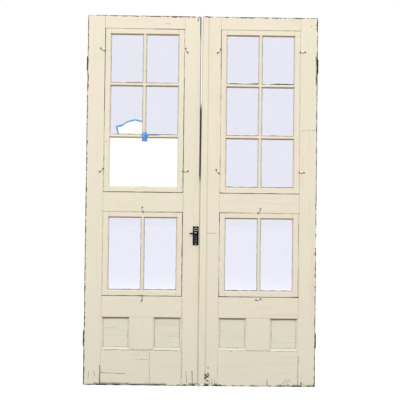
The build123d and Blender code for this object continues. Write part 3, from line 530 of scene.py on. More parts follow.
windowGlass = {"tint": srgb(231, 231, 244), "roughness": 0.015, "index": 1.48, "waves": 7.0, "bump": 0.05,
    "bumpDepth": 0.6 * mm}
puttyLook = {"light": srgb(226, 220, 198), "dark": srgb(188, 178, 150), "roughness": 0.8, "lumps": 90.0}
beddingShadeLook = {"light": srgb(96, 82, 54), "dark": srgb(34, 30, 23), "roughness": 0.85, "lumps": 60.0}
tapeLook = {"light": srgb(142, 200, 240), "deep": srgb(62, 132, 216), "roughness": 0.62, "crepe": 420.0,
    "folds": 38.0}
ironLook = {"paint": srgb(248, 243, 230), "rust": srgb(78, 46, 28), "dark": srgb(34, 27, 23),
    "roughness": 0.6}
# the second mark is for painted shadow on the lower half of each button
wearAndShadeMarks = ("reach", "lower")          # attributes of a turn button: from its hub, and below its long axis
blackLook = {"black": srgb(8, 8, 9), "bare": srgb(126, 120, 130), "glint": srgb(214, 213, 216),
    "rust": srgb(26, 20, 18), "roughness": 0.6, "specular": 0.06, "ridgeReach": 12 * mm,
    "hubReach": 10 * mm, "hubEdge": 2 * mm, "hubTop": (2.5 * mm, 4.5 * mm), "proud": (0.1 * mm, 0.6 * mm),
    "column": 9 * mm, "columnTop": (8 * mm, 14 * mm), "holeReach": 7 * mm,
    "holeDrops": (22 * mm, 37 * mm, 55 * mm)}          # below the spindle
steelLook = {"steel": srgb(150, 146, 140), "rust": srgb(98, 64, 42), "roughness": 0.45}


def glassRecipe(where, look):
    waves = cloud(where, look["waves"], 2.0)
    return {"Base Color": look["tint"], "Roughness": look["roughness"], "IOR": look["index"],
        "Transmission Weight": 1.0, "Normal": bump(waves, look["bump"], look["bumpDepth"])}


def puttyRecipe(where, look):
    lumps = cloud(where, look["lumps"], 4.0)
    cracks = useGroup(hairCracks, Coordinates=where, Scale=60.0, Width=0.05)["Mask"] * 0.8
    colour = tint(ramp(lumps, 0.35, 0.65), look["dark"], look["light"])
    return {"Base Color": tint(cracks, colour, creamPaint["gapDirt"]), "Roughness": look["roughness"],
        "Normal": bump(lumps - cracks, 0.6, 0.8 * mm)}


def tapeRecipe(where, look):
    crepe = cloud(vectorCalc("MULTIPLY", where, (1.0, 1.0, 0.25)), look["crepe"])
    folds = cloud(where, look["folds"], 4.0, 0.6, 0.8)
    colour = tint(ramp(folds, 0.38, 0.64), look["deep"], look["light"])
    return {"Base Color": tint(ramp(crepe, 0.5, 0.8) * 0.35, colour, look["deep"]),
        "Roughness": crepe * 0.2 + look["roughness"], "Normal": bump(crepe * 0.3 + folds, 0.6, 0.5 * mm)}


def paintedIronRecipe(where, look, marked=False):
    ragged = cloud(where, 210.0, 5.0, 0.65)
    rustTone = tint(ramp(cloud(where, 340.0, 4.0), 0.4, 0.62), look["dark"], look["rust"])
    bald = wear(where, 0.9 * mm, 160.0, 0.62) * 0.9
    if marked:
        marks = [addNode(where.tree, "ShaderNodeAttribute", attribute_name=mark)["Fac"] for mark in wearAndShadeMarks]
        # rust at the tips from the first mark, painted shadow on the lower half from the second
        bald = most(bald, ramp(ragged * 0.5 + (marks[0] - 0.25), 0.5, 0.68), ramp(marks[1], 0.05, 0.5))
    else:
        bald = most(bald, ramp(ragged, 0.6, 0.68))
    grimed = tint(ramp(ragged, 0.42, 0.7), look["paint"], creamPaint["cool"])
    return {"Base Color": tint(bald, grimed, rustTone), "Roughness": bald * 0.25 + look["roughness"],
        "Metallic": bald * 0.25, "Normal": bump(bald * -0.6 + ragged, 0.5, 0.4 * mm)}


def blackIronRecipe(where, look):
    ragged = cloud(where, 150.0, 5.0, 0.6)
    place = parts(where)
    facing = facingParts(where.tree)
    flat = vectorCalc("MULTIPLY", where, (1.0, 0.0, 1.0))
    aside = absolute(place["X"] - spindle.x)

    def belowSpindle(drop):
        return vectorCalc("DISTANCE", flat, (spindle.x, 0.0, spindle.z - drop))

    # rubbed grey down the middle of the plate, black again round each hole, and a painted highlight on the
    # sloped ridges and the top of the hub, where they stand proud
    rubbed = ramp(aside, look["column"], look["column"] / 2)
    rubbed = rubbed * ramp(place["Z"], *[spindle.z - drop for drop in look["columnTop"]])
    for drop in look["holeDrops"]:
        rubbed = rubbed * ramp(belowSpindle(drop), look["holeReach"] / 2, look["holeReach"])
    raised = ramp(place["Y"], *[spindle.y - stand for stand in look["proud"]])
    hubTop = ramp(place["Z"], *[spindle.z + rise for rise in look["hubTop"]])
    hubTop = hubTop * ramp(belowSpindle(0.0), look["hubReach"], look["hubReach"] - look["hubEdge"])
    slope = ramp(facing["Z"], 0.12, 0.32) * ramp(facing["Z"], 0.92, 0.7)
    ridge = slope * ramp(aside, look["ridgeReach"] + 1 * mm, look["ridgeReach"])
    bare = most(wear(where, 1.1 * mm, 90.0, 0.6) * 0.6, rubbed * 0.5)
    colour = tint(bare, tint(ramp(ragged, 0.55, 0.75), look["black"], look["rust"]), look["bare"])
    return {"Base Color": tint(raised * most(hubTop, ridge), colour, look["glint"]), "Metallic": bare * 0.4,
        "Specular IOR Level": look["specular"], "Roughness": ragged * 0.3 + (look["roughness"] - 0.15),
        "Normal": bump(ragged, 0.4, 0.4 * mm)}


def steelRecipe(where, look):
    drawn = cloud(vectorCalc("MULTIPLY", where, (260.0, 260.0, 40.0)), 1.0, 4.0)
    rusted = ramp(cloud(where, 120.0, 5.0, 0.65), 0.5, 0.64)
    return {"Base Color": tint(rusted, look["steel"], look["rust"]), "Metallic": 0.9 - rusted * 0.7,
        "Roughness": rusted * 0.35 + look["roughness"], "Normal": bump(drawn + rusted, 0.3, 0.3 * mm)}


finishes.update({
    "glass": makeFinish("oldWindowGlass", glassRecipe, windowGlass),
    "putty": makeFinish("glazingPutty", puttyRecipe, puttyLook),
    # the dark bedding at the edges of the lights, as painted shade of the glass rebates
    "grime": makeFinish("beddingShade", puttyRecipe, beddingShadeLook),
    "tape": makeFinish("blueMaskingTape", tapeRecipe, tapeLook),
    "button": makeFinish("turnButtonIron", paintedIronRecipe, ironLook, True),
    "hinge": makeFinish("paintedHingeIron", paintedIronRecipe, ironLook),
    "rusty": makeFinish("rustyPegIron", paintedIronRecipe, dict(ironLook, paint=ironLook["rust"])),
    "black": makeFinish("blackLatchIron", blackIronRecipe, blackLook),
    "steel": makeFinish("dullSteel", steelRecipe, steelLook),
})
print("glass, putty, tape and iron ready")


# refined copies of the frame's pieces

closeBy = 0.01 * mm           # points nearer than this are one point
cutSlack = 0.02 * mm          # points nearer than this to a cut lie on it


def islandsOf(items, neighbours):
    # groups of items that are joined to each other
    seen = set()
    islands = []
    for seed in items:
        if seed in seen:
            continue
        seen.add(seed)
        island = [seed]
        for item in island:
            for other in neighbours(item):
                if other not in seen:
                    seen.add(other)
                    island.append(other)
        islands.append(island)
    return islands


def acrossEdges(face):
    return [other for edge in face.edges if len(edge.link_faces) == 2 for other in edge.link_faces]


def mergedCopy(name, mergeDistance=0):
    work = bmesh.new()
    work.from_mesh(nodes[name].data)
    bmesh.ops.remove_doubles(work, verts=work.verts, dist=closeBy)
    # solids that touch along an edge are parted again, so that each stays closed
    for island in islandsOf(list(work.faces), acrossEdges)[1:]:
        bmesh.ops.split(work, geom=island)
    if mergeDistance:
        bmesh.ops.dissolve_degenerate(work, edges=work.edges, dist=mergeDistance)
    bmesh.ops.dissolve_limit(work, angle_limit=math.radians(0.5), verts=work.verts, edges=work.edges)
    return work


def looseBoxes(name):
    # lowest and highest corner of each solid of a node
    work = mergedCopy(name)
    islands = islandsOf(list(work.verts), lambda vert: [edge.other_vert(vert) for edge in vert.link_edges])
    boxes = [boundsOf([vert.co for vert in island]) for island in islands]
    work.free()
    return sorted(boxes, key=lambda box: (round(box[0].x, 4), round(box[0].z, 4)))


def roundArrises(work, width, shortest, sharpest=35):
    edges = [edge for edge in work.edges
            if len(edge.link_faces) == 2 and edge.is_convex and edge.calc_length() > shortest
            and edge.calc_face_angle(0) > math.radians(sharpest)]
    bmesh.ops.bevel(work, geom=edges, offset=width, segments=2, profile=0.5, affect="EDGES",
        clamp_overlap=True)


def cutAcross(work, place, normal):
    everything = work.verts[:] + work.edges[:] + work.faces[:]
    bmesh.ops.bisect_plane(work, geom=everything, plane_co=place, plane_no=normal, dist=cutSlack)


def sliceAlong(work, axis, step):
    low, high = [pick(vert.co[axis] for vert in work.verts) for pick in (min, max)]
    count = int((high - low) / step)
    for index in range(1, count):
        cutAcross(work, axes[axis] * (low + (high - low) * index / count), axes[axis])


def ridePiece(piece, body, replaced):
    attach(piece, body)
    if replaced:
        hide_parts(replaced)


def finishPiece(work, name, material, body, replaced=None, smoothAngle=0):
    mesh = bpy.data.meshes.new(name)
    bmesh.ops.triangulate(work, faces=[face for face in work.faces if len(face.verts) > 4])
    work.to_mesh(mesh)
    work.free()
    if smoothAngle:
        mesh.shade_smooth()
        mesh.set_sharp_from_angle(angle=math.radians(smoothAngle))
    mesh.materials.append(material)
    ridePiece(addObject(name, mesh), body, replaced)


woodWork = {
    "round": 1.5 * mm, "sashRound": 1.3 * mm, "merge": 0.9 * mm,
    "shortest": 14 * mm, "step": 12 * mm, "sashStep": 24 * mm,
    "sway": 0.35 * mm, "swayScale": 11.0,          # hand-planed unevenness
    "chip": 4.0 * mm, "chipScale": 21.0, "chipFrom": 0.16, "chipBand": 5 * mm,
}
meetingEdge = {
    "lean": 2.45 * mm, "shallow": 9 * mm, "shallowShare": 0.66, "frontShare": 0.4, "band": 4 * mm,
    "true": 0.6 * mm, "top": 1.76, "fade": 0.05,
    "planed": 1.2 * mm, "planedFrom": 1.25, "planedFade": 0.31,          # the gap widens from this height up
}
rottenFoot = {"centre": (46 * mm, 55 * mm), "reach": 26 * mm, "depth": 6 * mm, "cuts": 5, "cutReach": 1.3,
    "cutSlack": 0.05 * mm, "lumps": 130.0}


def meetingSide(side):
    # where a leaf meets the other one, and which way that is
    low, high = leafSpan[side]
    return (high.x, 1) if side == "left" else (low.x, -1)


def weather(work, side, look):
    # slightly uneven everywhere and chipped along the outer edges of the leaf, only ever inwards
    low, high = leafSpan[side]
    meeting = meetingSide(side)[0]
    for vert in work.verts:
        place = vert.co.copy()
        sway = max(0.0, 0.5 + 0.5 * noise.noise(place * look["swayScale"]))
        move = -vert.normal * look["sway"] * sway
        chip = look["chip"] * max(0.0, noise.noise(place * look["chipScale"]) - look["chipFrom"])
        if abs(place.x - meeting) < look["chipBand"]:
            chip = 0.0
        for axis in (0, 2):
            if place[axis] - low[axis] < look["chipBand"]:
                move[axis] += chip
            elif high[axis] - place[axis] < look["chipBand"]:
                move[axis] -= chip
        vert.co = place + move


def within(share):
    return min(1.0, max(0.0, share))


def leanMeetingEdge(work, side, look):
    # out of square: behind the front the two leaves all but touch, and higher up both are planed back
    low, high = leafSpan[side]
    edge, outward = meetingSide(side)
    cutAcross(work, (0, low.y + look["shallow"], 0), axes[1])
    for vert in work.verts:
        if abs(vert.co.x - edge) < look["band"]:
            closed = within((look["top"] - vert.co.z) / look["fade"])
            planed = look["planed"] * within((vert.co.z - look["planedFrom"]) / look["planedFade"])
            depth = within((vert.co.y - low.y) / (high.y - low.y))
            tight = within((vert.co.z - look["planedFrom"]) / look["fade"])
            shallow = max(look["shallowShare"] * within((vert.co.y - low.y) / look["shallow"]),
                    look["frontShare"] * (1 - tight))
            if abs(vert.co.x - edge) < look["true"]:
                vert.co.x += (edge - vert.co.x) * closed * depth * tight
            lean = look["lean"] * closed * max(depth, shallow)
            vert.co.x += outward * (lean - planed * (1 - depth * closed))


def rotFoot(work, look):
    # a hollow rotted into the front of the stile, cut finely enough to be uneven
    acrossAt, upAt = look["centre"]
    for axis, middle in ((0, acrossAt), (2, upAt)):
        for step in range(-look["cuts"], look["cuts"] + 1):
            faces = [face for face in work.faces if face.normal.y < -0.9
                    and abs(face.calc_center_median().z - upAt) < look["reach"] * look["cutReach"]]
            edges = dict.fromkeys(edge for face in faces for edge in face.edges)
            verts = dict.fromkeys(vert for face in faces for vert in face.verts)
            place = axes[axis] * (middle + look["reach"] * step / look["cuts"])
            bmesh.ops.bisect_plane(work, geom=[*verts, *edges, *faces], plane_co=place, plane_no=axes[axis],
                    dist=look["cutSlack"])
    for vert in work.verts:
        away = math.hypot(vert.co.x - acrossAt, vert.co.z - upAt) / look["reach"]
        if away < 1 and vert.co.y < doorFront + woodWork["round"]:
            ragged = max(0.0, 0.55 + noise.noise(vert.co * look["lumps"]))
            vert.co.y += look["depth"] * (1 - away * away) * ragged


def woodPiece(name, side, label, look, fine=False):
    work = mergedCopy(name, look["merge"])
    roundArrises(work, look["sashRound" if fine else "round"], look["shortest"])
    sliceAlong(work, 2 if label == "upright" else 0, look["sashStep" if fine else "step"])
    weather(work, side, look)
    if name.endswith(("meeting_stile", "astragal")):
        leanMeetingEdge(work, side, meetingEdge)
    if name == "right_meeting_stile":
        rotFoot(work, rottenFoot)
    finishPiece(work, name + ".painted", finishes[side, label], side + "_leaf", name)


doorMembers = {"hinge_stile": "upright", "meeting_stile": "upright", "panel_mullion": "upright",
    "top_rail": "level", "lock_rail": "level", "middle_rail": "level", "bottom_rail": "level",
    "panels": "panel"}
sashMembers = {"stiles": "upright", "bars": "upright", "rails": "level"}
for side in sides:
    for member, label in doorMembers.items():
        woodPiece(f"{side}_{member}", side, label, woodWork)
    for which in sashes:
        for member, label in sashMembers.items():
            woodPiece(f"{side}_{which}_sash_{member}", side, label, woodWork, True)
woodPiece("right_astragal", "right", "upright", woodWork)
print("joinery dressed")


# iron

ironWork = {
    "shortest": 1.5 * mm, "sharpest": 25, "smooth": 40,          # degrees
    "button": 0.45 * mm, "latch": 0.6 * mm, "hinge": 0.5 * mm, "pin": 0.5 * mm,
}
latchRidges = {"rises": (18 * mm, 30 * mm), "width": 24 * mm, "height": 8 * mm, "stand": 2.4 * mm,
    "slope": 5 * mm, "round": 0.6 * mm}


def addRidges(work, look):
    # raised bars across the plate above the lever, each sloping back to the plate at the top
    shape = Matrix.Diagonal((look["width"], look["stand"] * 2, look["height"], 1.0))
    for rise in look["rises"]:
        centre = spindle + axes[2] * rise
        bar = bmesh.ops.create_cube(work, matrix=Matrix.Translation(centre) @ shape)
        for vert in bar["verts"]:
            if vert.co.y < centre.y and vert.co.z > centre.z:
                vert.co.z -= look["slope"]
        edges = dict.fromkeys(edge for vert in bar["verts"] for edge in vert.link_edges)
        bmesh.ops.bevel(work, geom=list(edges), offset=look["round"], segments=3, profile=0.5, affect="EDGES")


def markWearAndShade(work, name):
    # how far each point is from the hub, and how far below the long axis, both as shares of the button: the
    # first for rust at the tips, the second for painted shadow on the lower half
    low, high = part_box(name)
    centre = (low + high) / 2
    for mark in wearAndShadeMarks:
        work.verts.layers.float.new(mark)
    reach, lower = [work.verts.layers.float[mark] for mark in wearAndShadeMarks]
    flat = [(vert, vert.co.x - centre.x, vert.co.z - centre.z) for vert in work.verts]
    products = [(x * x, x * z, z * z) for vert, x, z in flat]
    level, mixed, upright = [sum(column) for column in zip(*products)]
    lean = 0.5 * math.atan2(2 * mixed, level - upright)
    downX, downZ = (math.sin(lean), -math.cos(lean)) if math.cos(lean) > 0.1 else (1.0, 0.0)
    halfLength = max(math.hypot(x, z) for vert, x, z in flat)
    halfWidth = max(abs(x * downX + z * downZ) for vert, x, z in flat)
    for vert, x, z in flat:
        vert[reach] = math.hypot(x, z) / halfLength
        vert[lower] = (x * downX + z * downZ) / halfWidth


def ironPiece(name, finish, width, look):
    work = mergedCopy(name)
    roundArrises(work, width, look["shortest"], look["sharpest"])
    if name == "latch_plate":
        addRidges(work, latchRidges)
    if finish == "button":
        markWearAndShade(work, name)
    body = body_of(nodes[name])[0]
    finishPiece(work, name + ".iron", finishes[finish], body, name, look["smooth"])


for name in [name for name in nodes if "_button_" in name]:
    ironPiece(name, "button", ironWork["button"], ironWork)
for name in ("latch_plate", "latch_lever"):
    ironPiece(name, "black", ironWork["latch"], ironWork)
for owner, finish in (("frame", "rusty"), ("left", "hinge"), ("right", "hinge")):
    ironPiece(owner + "_hinge_leaves", finish, ironWork["hinge"], ironWork)
ironPiece("hinge_pins", "steel", ironWork["pin"], ironWork)
print("turn buttons, latch and hinges dressed")


# screws, pegs and nails

quarterTurn = (math.pi / 2, 0.0, 0.0)


def moved(shape, **by):
    return addNode(shape.tree, "GeometryNodeTransform", dict(by, Geometry=shape))["Geometry"]


def block(tree, *lengths):
    return addNode(tree, "GeometryNodeMeshCube", {"Size": joined(tree, *lengths)})["Mesh"]


def together(*shapes):
    return addNode(shapes[0].tree, "GeometryNodeJoinGeometry", {"Geometry": shapes})["Geometry"]


def screwRecipe(points, radius, crown, slotWidth, slotDepth, shankRadius, shankLength, spin, seed, material):
    tree = points.tree
    ball = addNode(tree, "GeometryNodeMeshUVSphere", dict(Segments=20, Rings=10, Radius=1.0))["Mesh"]
    dome = moved(ball, Rotation=quarterTurn, Scale=joined(tree, radius, radius, crown))
    wide = radius * 4.0
    backHalf = moved(block(tree, wide, wide, wide), Translation=joined(tree, y=wide * 0.5))
    slot = moved(block(tree, wide, slotDepth * 2.0, slotWidth), Translation=joined(tree, y=crown * -1.0))
    head = addNode(tree, "GeometryNodeMeshBoolean", {"Mesh 1": dome, "Mesh 2": (backHalf, slot)},
        operation="DIFFERENCE")["Mesh"]
    rodSize = dict(Vertices=8, Radius=shankRadius, Depth=shankLength)
    rod = addNode(tree, "GeometryNodeMeshCylinder", rodSize)["Mesh"]
    shank = moved(rod, Rotation=quarterTurn, Translation=joined(tree, y=shankLength * 0.5))
    return onPoints(points, together(head, shank), spin, seed, material)


def pegRecipe(points, radius, stand, root, spin, seed, material):
    tree = points.tree

    def cone(top, bottom, depth):
        inputs = {"Vertices": 11, "Radius Top": top, "Radius Bottom": bottom, "Depth": depth}
        return addNode(tree, "GeometryNodeMeshCone", inputs)["Mesh"]

    crown = cone(radius * 0.72, radius, stand)
    foot = moved(cone(radius, radius * 0.6, root), Translation=joined(tree, z=root * -1.0))
    both = dict(Geometry=together(crown, foot), Distance=closeBy)
    welded = addNode(tree, "GeometryNodeMergeByDistance", both)["Geometry"]
    return onPoints(points, moved(welded, Rotation=quarterTurn), spin, seed, material)


def onPoints(points, shape, spin, seed, material):
    # one head on each point, each turned a little differently
    tree = points.tree
    angle = addNode(tree, "FunctionNodeRandomValue", dict(Min=0.0, Max=spin, Seed=seed), data_type="FLOAT")
    turn = joined(tree, y=Wire(next(socket for socket in angle.outputs if socket.enabled)))
    placing = dict(Points=points, Instance=shape, Rotation=turn)
    placed = addNode(tree, "GeometryNodeInstanceOnPoints", placing)["Instances"]
    real = addNode(tree, "GeometryNodeRealizeInstances", dict(Geometry=placed))["Geometry"]
    return addNode(tree, "GeometryNodeSetMaterial", dict(Geometry=real, Material=material))["Geometry"]


def headGroup(name, recipe, *numbers):
    inputs = dict(Geometry=["Geometry"], Float=[*numbers, "Spin"], Int=["Seed"], Material=["Material"])
    return makeGroup(name, recipe, inputs, "Geometry", kind="Geometry")


def growHeads(name, points, tree, values, finish, body, replaced=None):
    mesh = bpy.data.meshes.new(name)
    mesh.from_pydata(points, [], [])
    piece = addObject(name, mesh)
    modifier = piece.modifiers.new(tree.name, "NODES")
    modifier.node_group = tree
    values = dict(values, Material=finishes[finish])
    for item in tree.interface.items_tree:
        if item.in_out == "INPUT" and item.name in values:
            modifier[item.identifier] = values[item.name]
    grown = piece.evaluated_get(bpy.context.evaluated_depsgraph_get())
    piece.data = bpy.data.meshes.new_from_object(grown)
    piece.modifiers.clear()
    ridePiece(piece, body, replaced)


roundScrew = {"Radius": 4.2 * mm, "Crown": 2.6 * mm, "Slot Width": 1.1 * mm, "Slot Depth": 1.3 * mm,
    "Shank Radius": 1.9 * mm, "Shank Length": 22 * mm, "Spin": 3.1, "Seed": 5}
sashPeg = {"Radius": 2.6 * mm, "Stand": 0.5 * mm, "Root": 9 * mm, "Spin": 3.0, "Seed": 11}
stripNail = {"Radius": 2.0 * mm, "Stand": 0.4 * mm, "Root": 8 * mm, "Spin": 3.0, "Seed": 17}
pegPlaces = {"fromEdge": 12 * mm, "fromEnd": 33 * mm, "besideBar": 310 * mm}
# the rusty ones: sash, then left or right, then bottom, top or beside the bar
rustyPegs = {"left": (("upper", 0, 0), ("upper", 1, 0), ("upper", 0, 2), ("upper", 1, 2)),
    "right": (("upper", 1, 1),)}
nailPlaces = {"first": 136 * mm, "spacing": 285 * mm, "across": 0.46}

slottedScrews = headGroup("slottedScrews", screwRecipe, "Radius", "Crown", "Slot Width", "Slot Depth",
    "Shank Radius", "Shank Length")
pegHeads = headGroup("pegHeads", pegRecipe, "Radius", "Stand", "Root")
for side in sides:
    node = side + "_round_head_screws"
    seats = {"hinge": [], "black": []}
    for low, high in looseBoxes(node):
        centre = (low + high) / 2
        onLatch = plateLow.x < centre.x < plateHigh.x and plateLow.z < centre.z < plateHigh.z
        seats["black" if onLatch else "hinge"].append((centre.x, low.y + roundScrew["Crown"], centre.z))
    for finish, points in seats.items():
        if points:
            growHeads(f"{node}.{finish}", points, slottedScrews, roundScrew, finish, side + "_leaf",
                    node)

    pegs = {"rusty": [], "hinge": []}
    for which in sashes:
        low, high = sashSpan[side, which]
        across = (low.x + pegPlaces["fromEdge"], high.x - pegPlaces["fromEdge"])
        up = [low.z + pegPlaces["fromEnd"], high.z - pegPlaces["fromEnd"]]
        if which == "upper":
            up.append(low.z + pegPlaces["besideBar"])
        for column, x in enumerate(across):
            for row, z in enumerate(up):
                rusty = (which, column, row) in rustyPegs[side]
                pegs["rusty" if rusty else "hinge"].append((x, sashFront, z))
    for finish, points in pegs.items():
        growHeads(f"{side}_sash_pegs.{finish}", points, pegHeads, sashPeg, finish, side + "_leaf")

stripLow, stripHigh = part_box("right_astragal")
nailCount = int((stripHigh.z - nailPlaces["first"]) / nailPlaces["spacing"]) + 1
nails = [(stripLow.x + (stripHigh.x - stripLow.x) * nailPlaces["across"], stripLow.y,
    nailPlaces["first"] + index * nailPlaces["spacing"]) for index in range(nailCount)]
growHeads("right_astragal_nails", nails, pegHeads, stripNail, "hinge", "right_leaf")
print("screws, pegs and nails set")


# bars swept along a line, used for the bedding and the paint in the open lines

def sweepBar(work, start, end, step, cornersAt):
    count = max(2, int((end - start).length / step))
    rings = [[work.verts.new(corner) for corner in cornersAt(start.lerp(end, index / count))]
            for index in range(count + 1)]
    for near, far in zip(rings, rings[1:]):
        for index in range(len(near)):
            following = (index + 1) % len(near)
            work.faces.new((near[index], near[following], far[following], far[index]))
    work.faces.new(rings[0])
    work.faces.new(rings[-1])


def finishBars(work, name, finish, side):
    bmesh.ops.recalc_face_normals(work, faces=work.faces)
    finishPiece(work, f"{side}_{name}", finish, side + "_leaf")


# dark bedding along the edges of the lights, in front of the glass: painted shade of the glass rebates,
# tallest below
bedding = {
    "cover": 5 * mm, "step": 6 * mm, "bury": 1.4 * mm, "stand": 1.8 * mm, "scale": 26.0, "clear": 0.05 * mm,
    "rise": {"below": 3.2 * mm, "above": 0.9 * mm, "left": 1.5 * mm, "right": 1.5 * mm},
    "ragged": 0.8, "heavyRow": 2.0, "heavier": {"left": 1.0, "right": 1.6},      # the row above this height
}


def bedEdge(work, start, end, inward, rise, look):
    # a three-sided fillet between the wood and the glass, of uneven height
    def cornersAt(place):
        height = rise * max(0.15, 1.0 + look["ragged"] * noise.noise(place * look["scale"]))
        root = place - inward * look["bury"]
        return root, place + inward * height, root - axes[1] * look["stand"]
    sweepBar(work, start, end, look["step"], cornersAt)


def bedLights(side, look):
    work = bmesh.new()
    names = [name for name in (side + "_panes", side + "_broken_pane") if name in nodes]
    for low, high in [box for name in names for box in looseBoxes(name)]:
        y = low.y - look["clear"]
        left, right = low.x + look["cover"], high.x - look["cover"]
        bottom, top = low.z + look["cover"], high.z - look["cover"]
        for edge, start, end, inward in (("below", (left, bottom), (right, bottom), axes[2]),
                ("above", (left, top), (right, top), -axes[2]),
                ("left", (left, bottom), (left, top), axes[0]),
                ("right", (right, bottom), (right, top), -axes[0])):
            ends = [Vector((x, y, z)) for x, z in (start, end)]
            heavier = look["heavier"][side] if edge == "below" and high.z > look["heavyRow"] else 1.0
            bedEdge(work, *ends, inward, look["rise"][edge] * heavier, look)
    finishBars(work, "bedding", finishes["grime"], side)


for side in sides:
    bedLights(side, bedding)
print("glass bedded")


# old paint that has run into some of the open lines and filled them nearly flush
paintBridge = {
    "step": 9 * mm, "across": 1.9 * mm, "sunk": 1.1 * mm, "thick": 1.4 * mm, "uneven": 0.8 * mm,
    "scale": 17.0, "gapHalf": 1.5 * mm,
    # the sash, its edge, and where the run begins and ends along it
    "runs": {
        "left": (("upper", "above", 0.0, 0.62), ("upper", "left", 0.0, 0.5), ("upper", "right", 0.7, 1.0),
            ("lower", "left", 0.0, 1.0), ("lower", "above", 0.0, 0.7)),
        "right": (("upper", "above", 0.0, 1.0), ("upper", "right", 0.0, 1.0), ("upper", "left", 0.0, 0.75),
            ("lower", "right", 0.0, 1.0), ("lower", "left", 0.0, 0.88), ("lower", "above", 0.3, 1.0)),
    },
}


def bridgeLine(work, low, high, edge, begin, finish, look):
    out = look["gapHalf"]
    start, end, across = {"above": ((low.x, high.z + out), (high.x, high.z + out), axes[2]),
            "left": ((low.x - out, low.z), (low.x - out, high.z), axes[0]),
            "right": ((high.x + out, low.z), (high.x + out, high.z), axes[0])}[edge]
    ends = [Vector((x, 0.0, z)) for x, z in (start, end)]
    across = across * look["across"]

    def cornersAt(place):
        front = sashFront + look["sunk"] + look["uneven"] * noise.noise(place * look["scale"])
        near, far = place + axes[1] * front, place + axes[1] * (front + look["thick"])
        return near - across, near + across, far + across, far - across

    sweepBar(work, ends[0].lerp(ends[1], begin), ends[0].lerp(ends[1], finish), look["step"], cornersAt)


for side in sides:
    bridges = bmesh.new()
    for which, *run in paintBridge["runs"][side]:
        bridgeLine(bridges, *sashSpan[side, which], *run, paintBridge)
    finishBars(bridges, "paint_bridges", finishes[side, "upright"], side)
print("open lines bridged")


# blue tape, folded over the broken edge and crumpled over the crossing of the bars

tapeWork = {
    "thick": 0.5 * mm, "columns": 20, "rows": 28, "halfBar": 11 * mm, "barHeight": 22 * mm,
    "pastBar": 4.5 * mm, "left": 14 * mm, "right": 25 * mm, "above": 13 * mm, "below": 20 * mm,
    "ragged": 7 * mm, "proud": 0.2 * mm,
    "wrinkle": 2.0 * mm, "wrinkleScale": 80.0, "hang": 0.25, "foldBack": 1.2, "foldDepth": 8 * mm,
    "tail": 84 * mm, "tailLap": 6 * mm, "tailSteps": 14, "tailDrop": 4.5 * mm, "tailFold": 7 * mm,
    "tailRise": 0.5 * mm, "tailCrest": 0.2 * mm, "tailProud": (0.3 * mm, 0.6 * mm),
    "cuts": 4, "longest": 10 * mm, "puff": 1.1 * mm, "wave": 1.6 * mm, "waveScale": 45.0, "slack": 1.5 * mm,
}


def crumplePatch(work, look):
    low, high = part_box("left_tape")
    barBottom = low.z
    barTop = barBottom + look["barHeight"]
    middle = high.x - (look["halfBar"] + look["pastBar"])
    front = low.y - look["proud"]
    rows = []
    for row in range(look["rows"] + 1):
        z = barTop + look["above"] - (look["above"] + look["barHeight"] + look["below"]) * row / look["rows"]
        ending = abs(2 * row / look["rows"] - 1) ** 6
        line = []
        for column in range(look["columns"] + 1):
            share = column / look["columns"]
            x = middle - look["left"] + (look["left"] + look["right"]) * share
            torn = noise.noise(Vector((round(share) * 3.0, z * 60.0, 1.7)))
            x += look["ragged"] * torn * abs(share - 0.5) * 2
            slant = look["ragged"] * noise.noise(Vector((x * 70.0, row // (look["rows"] // 2) * 5.0, 4.1)))
            y = front
            if z > barTop:
                y += min(look["foldDepth"], max(0.0, abs(x - middle) - look["halfBar"]) * look["foldBack"])
            elif z < barBottom:
                y += (barBottom - z) * look["hang"]
            y -= look["wrinkle"] * max(0.0, 0.4 + noise.noise(Vector((x, z, 0.3)) * look["wrinkleScale"]))
            line.append(work.verts.new((x, y, z + slant * ending)))
        rows.append(line)
    return rows, front, barTop, middle + look["right"]


def tapeTail(work, front, barTop, start, look):
    rows = []
    top = barTop + look["tailRise"]
    for step in range(look["tailSteps"] + 1):
        share = step / look["tailSteps"]
        x = start - look["tailLap"] + look["tail"] * share
        slack = noise.noise(Vector((x * 90.0, 0.0, 0.0)))
        drop = look["tailDrop"] * (1 - 0.6 * share) * (1 + 0.5 * slack)
        crest, hem = look["tailProud"]
        corners = ((front + look["tailFold"] * (1 - share * 0.5), top),
            (front - crest, top + look["tailCrest"]), (front - hem, top - drop))
        rows.append([work.verts.new((x, y, z)) for y, z in corners])
    return rows


def quadGrid(work, rows):
    return [work.faces.new((near[index], near[index + 1], far[index + 1], far[index]))
            for near, far in zip(rows, rows[1:]) for index in range(len(near) - 1)]


def breakTape(work, look):
    # the length along the break is the frame's own, puffed and wavy
    low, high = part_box("left_broken_pane")
    source = mergedCopy("left_tape")
    away = [vert for vert in source.verts if not low.y - look["slack"] < vert.co.y < high.y + look["slack"]]
    bmesh.ops.delete(source, geom=away, context="VERTS")
    longEdges = [edge for edge in source.edges if edge.calc_length() > look["longest"]]
    bmesh.ops.subdivide_edges(source, edges=longEdges, cuts=look["cuts"], use_grid_fill=True)
    bmesh.ops.triangulate(source, faces=source.faces)
    for vert in source.verts:
        outward = -1 if vert.co.y < (low.y + high.y) / 2 else 1
        vert.co.y += outward * look["puff"] * max(0.0, 0.3 + noise.noise(vert.co * look["wrinkleScale"]))
        vert.co.z += look["wave"] * noise.noise(Vector((vert.co.x, 0.5, 0.0)) * look["waveScale"])
    mesh = bpy.data.meshes.new("breakTape")
    source.to_mesh(mesh)
    source.free()
    work.from_mesh(mesh)
    bpy.data.meshes.remove(mesh)


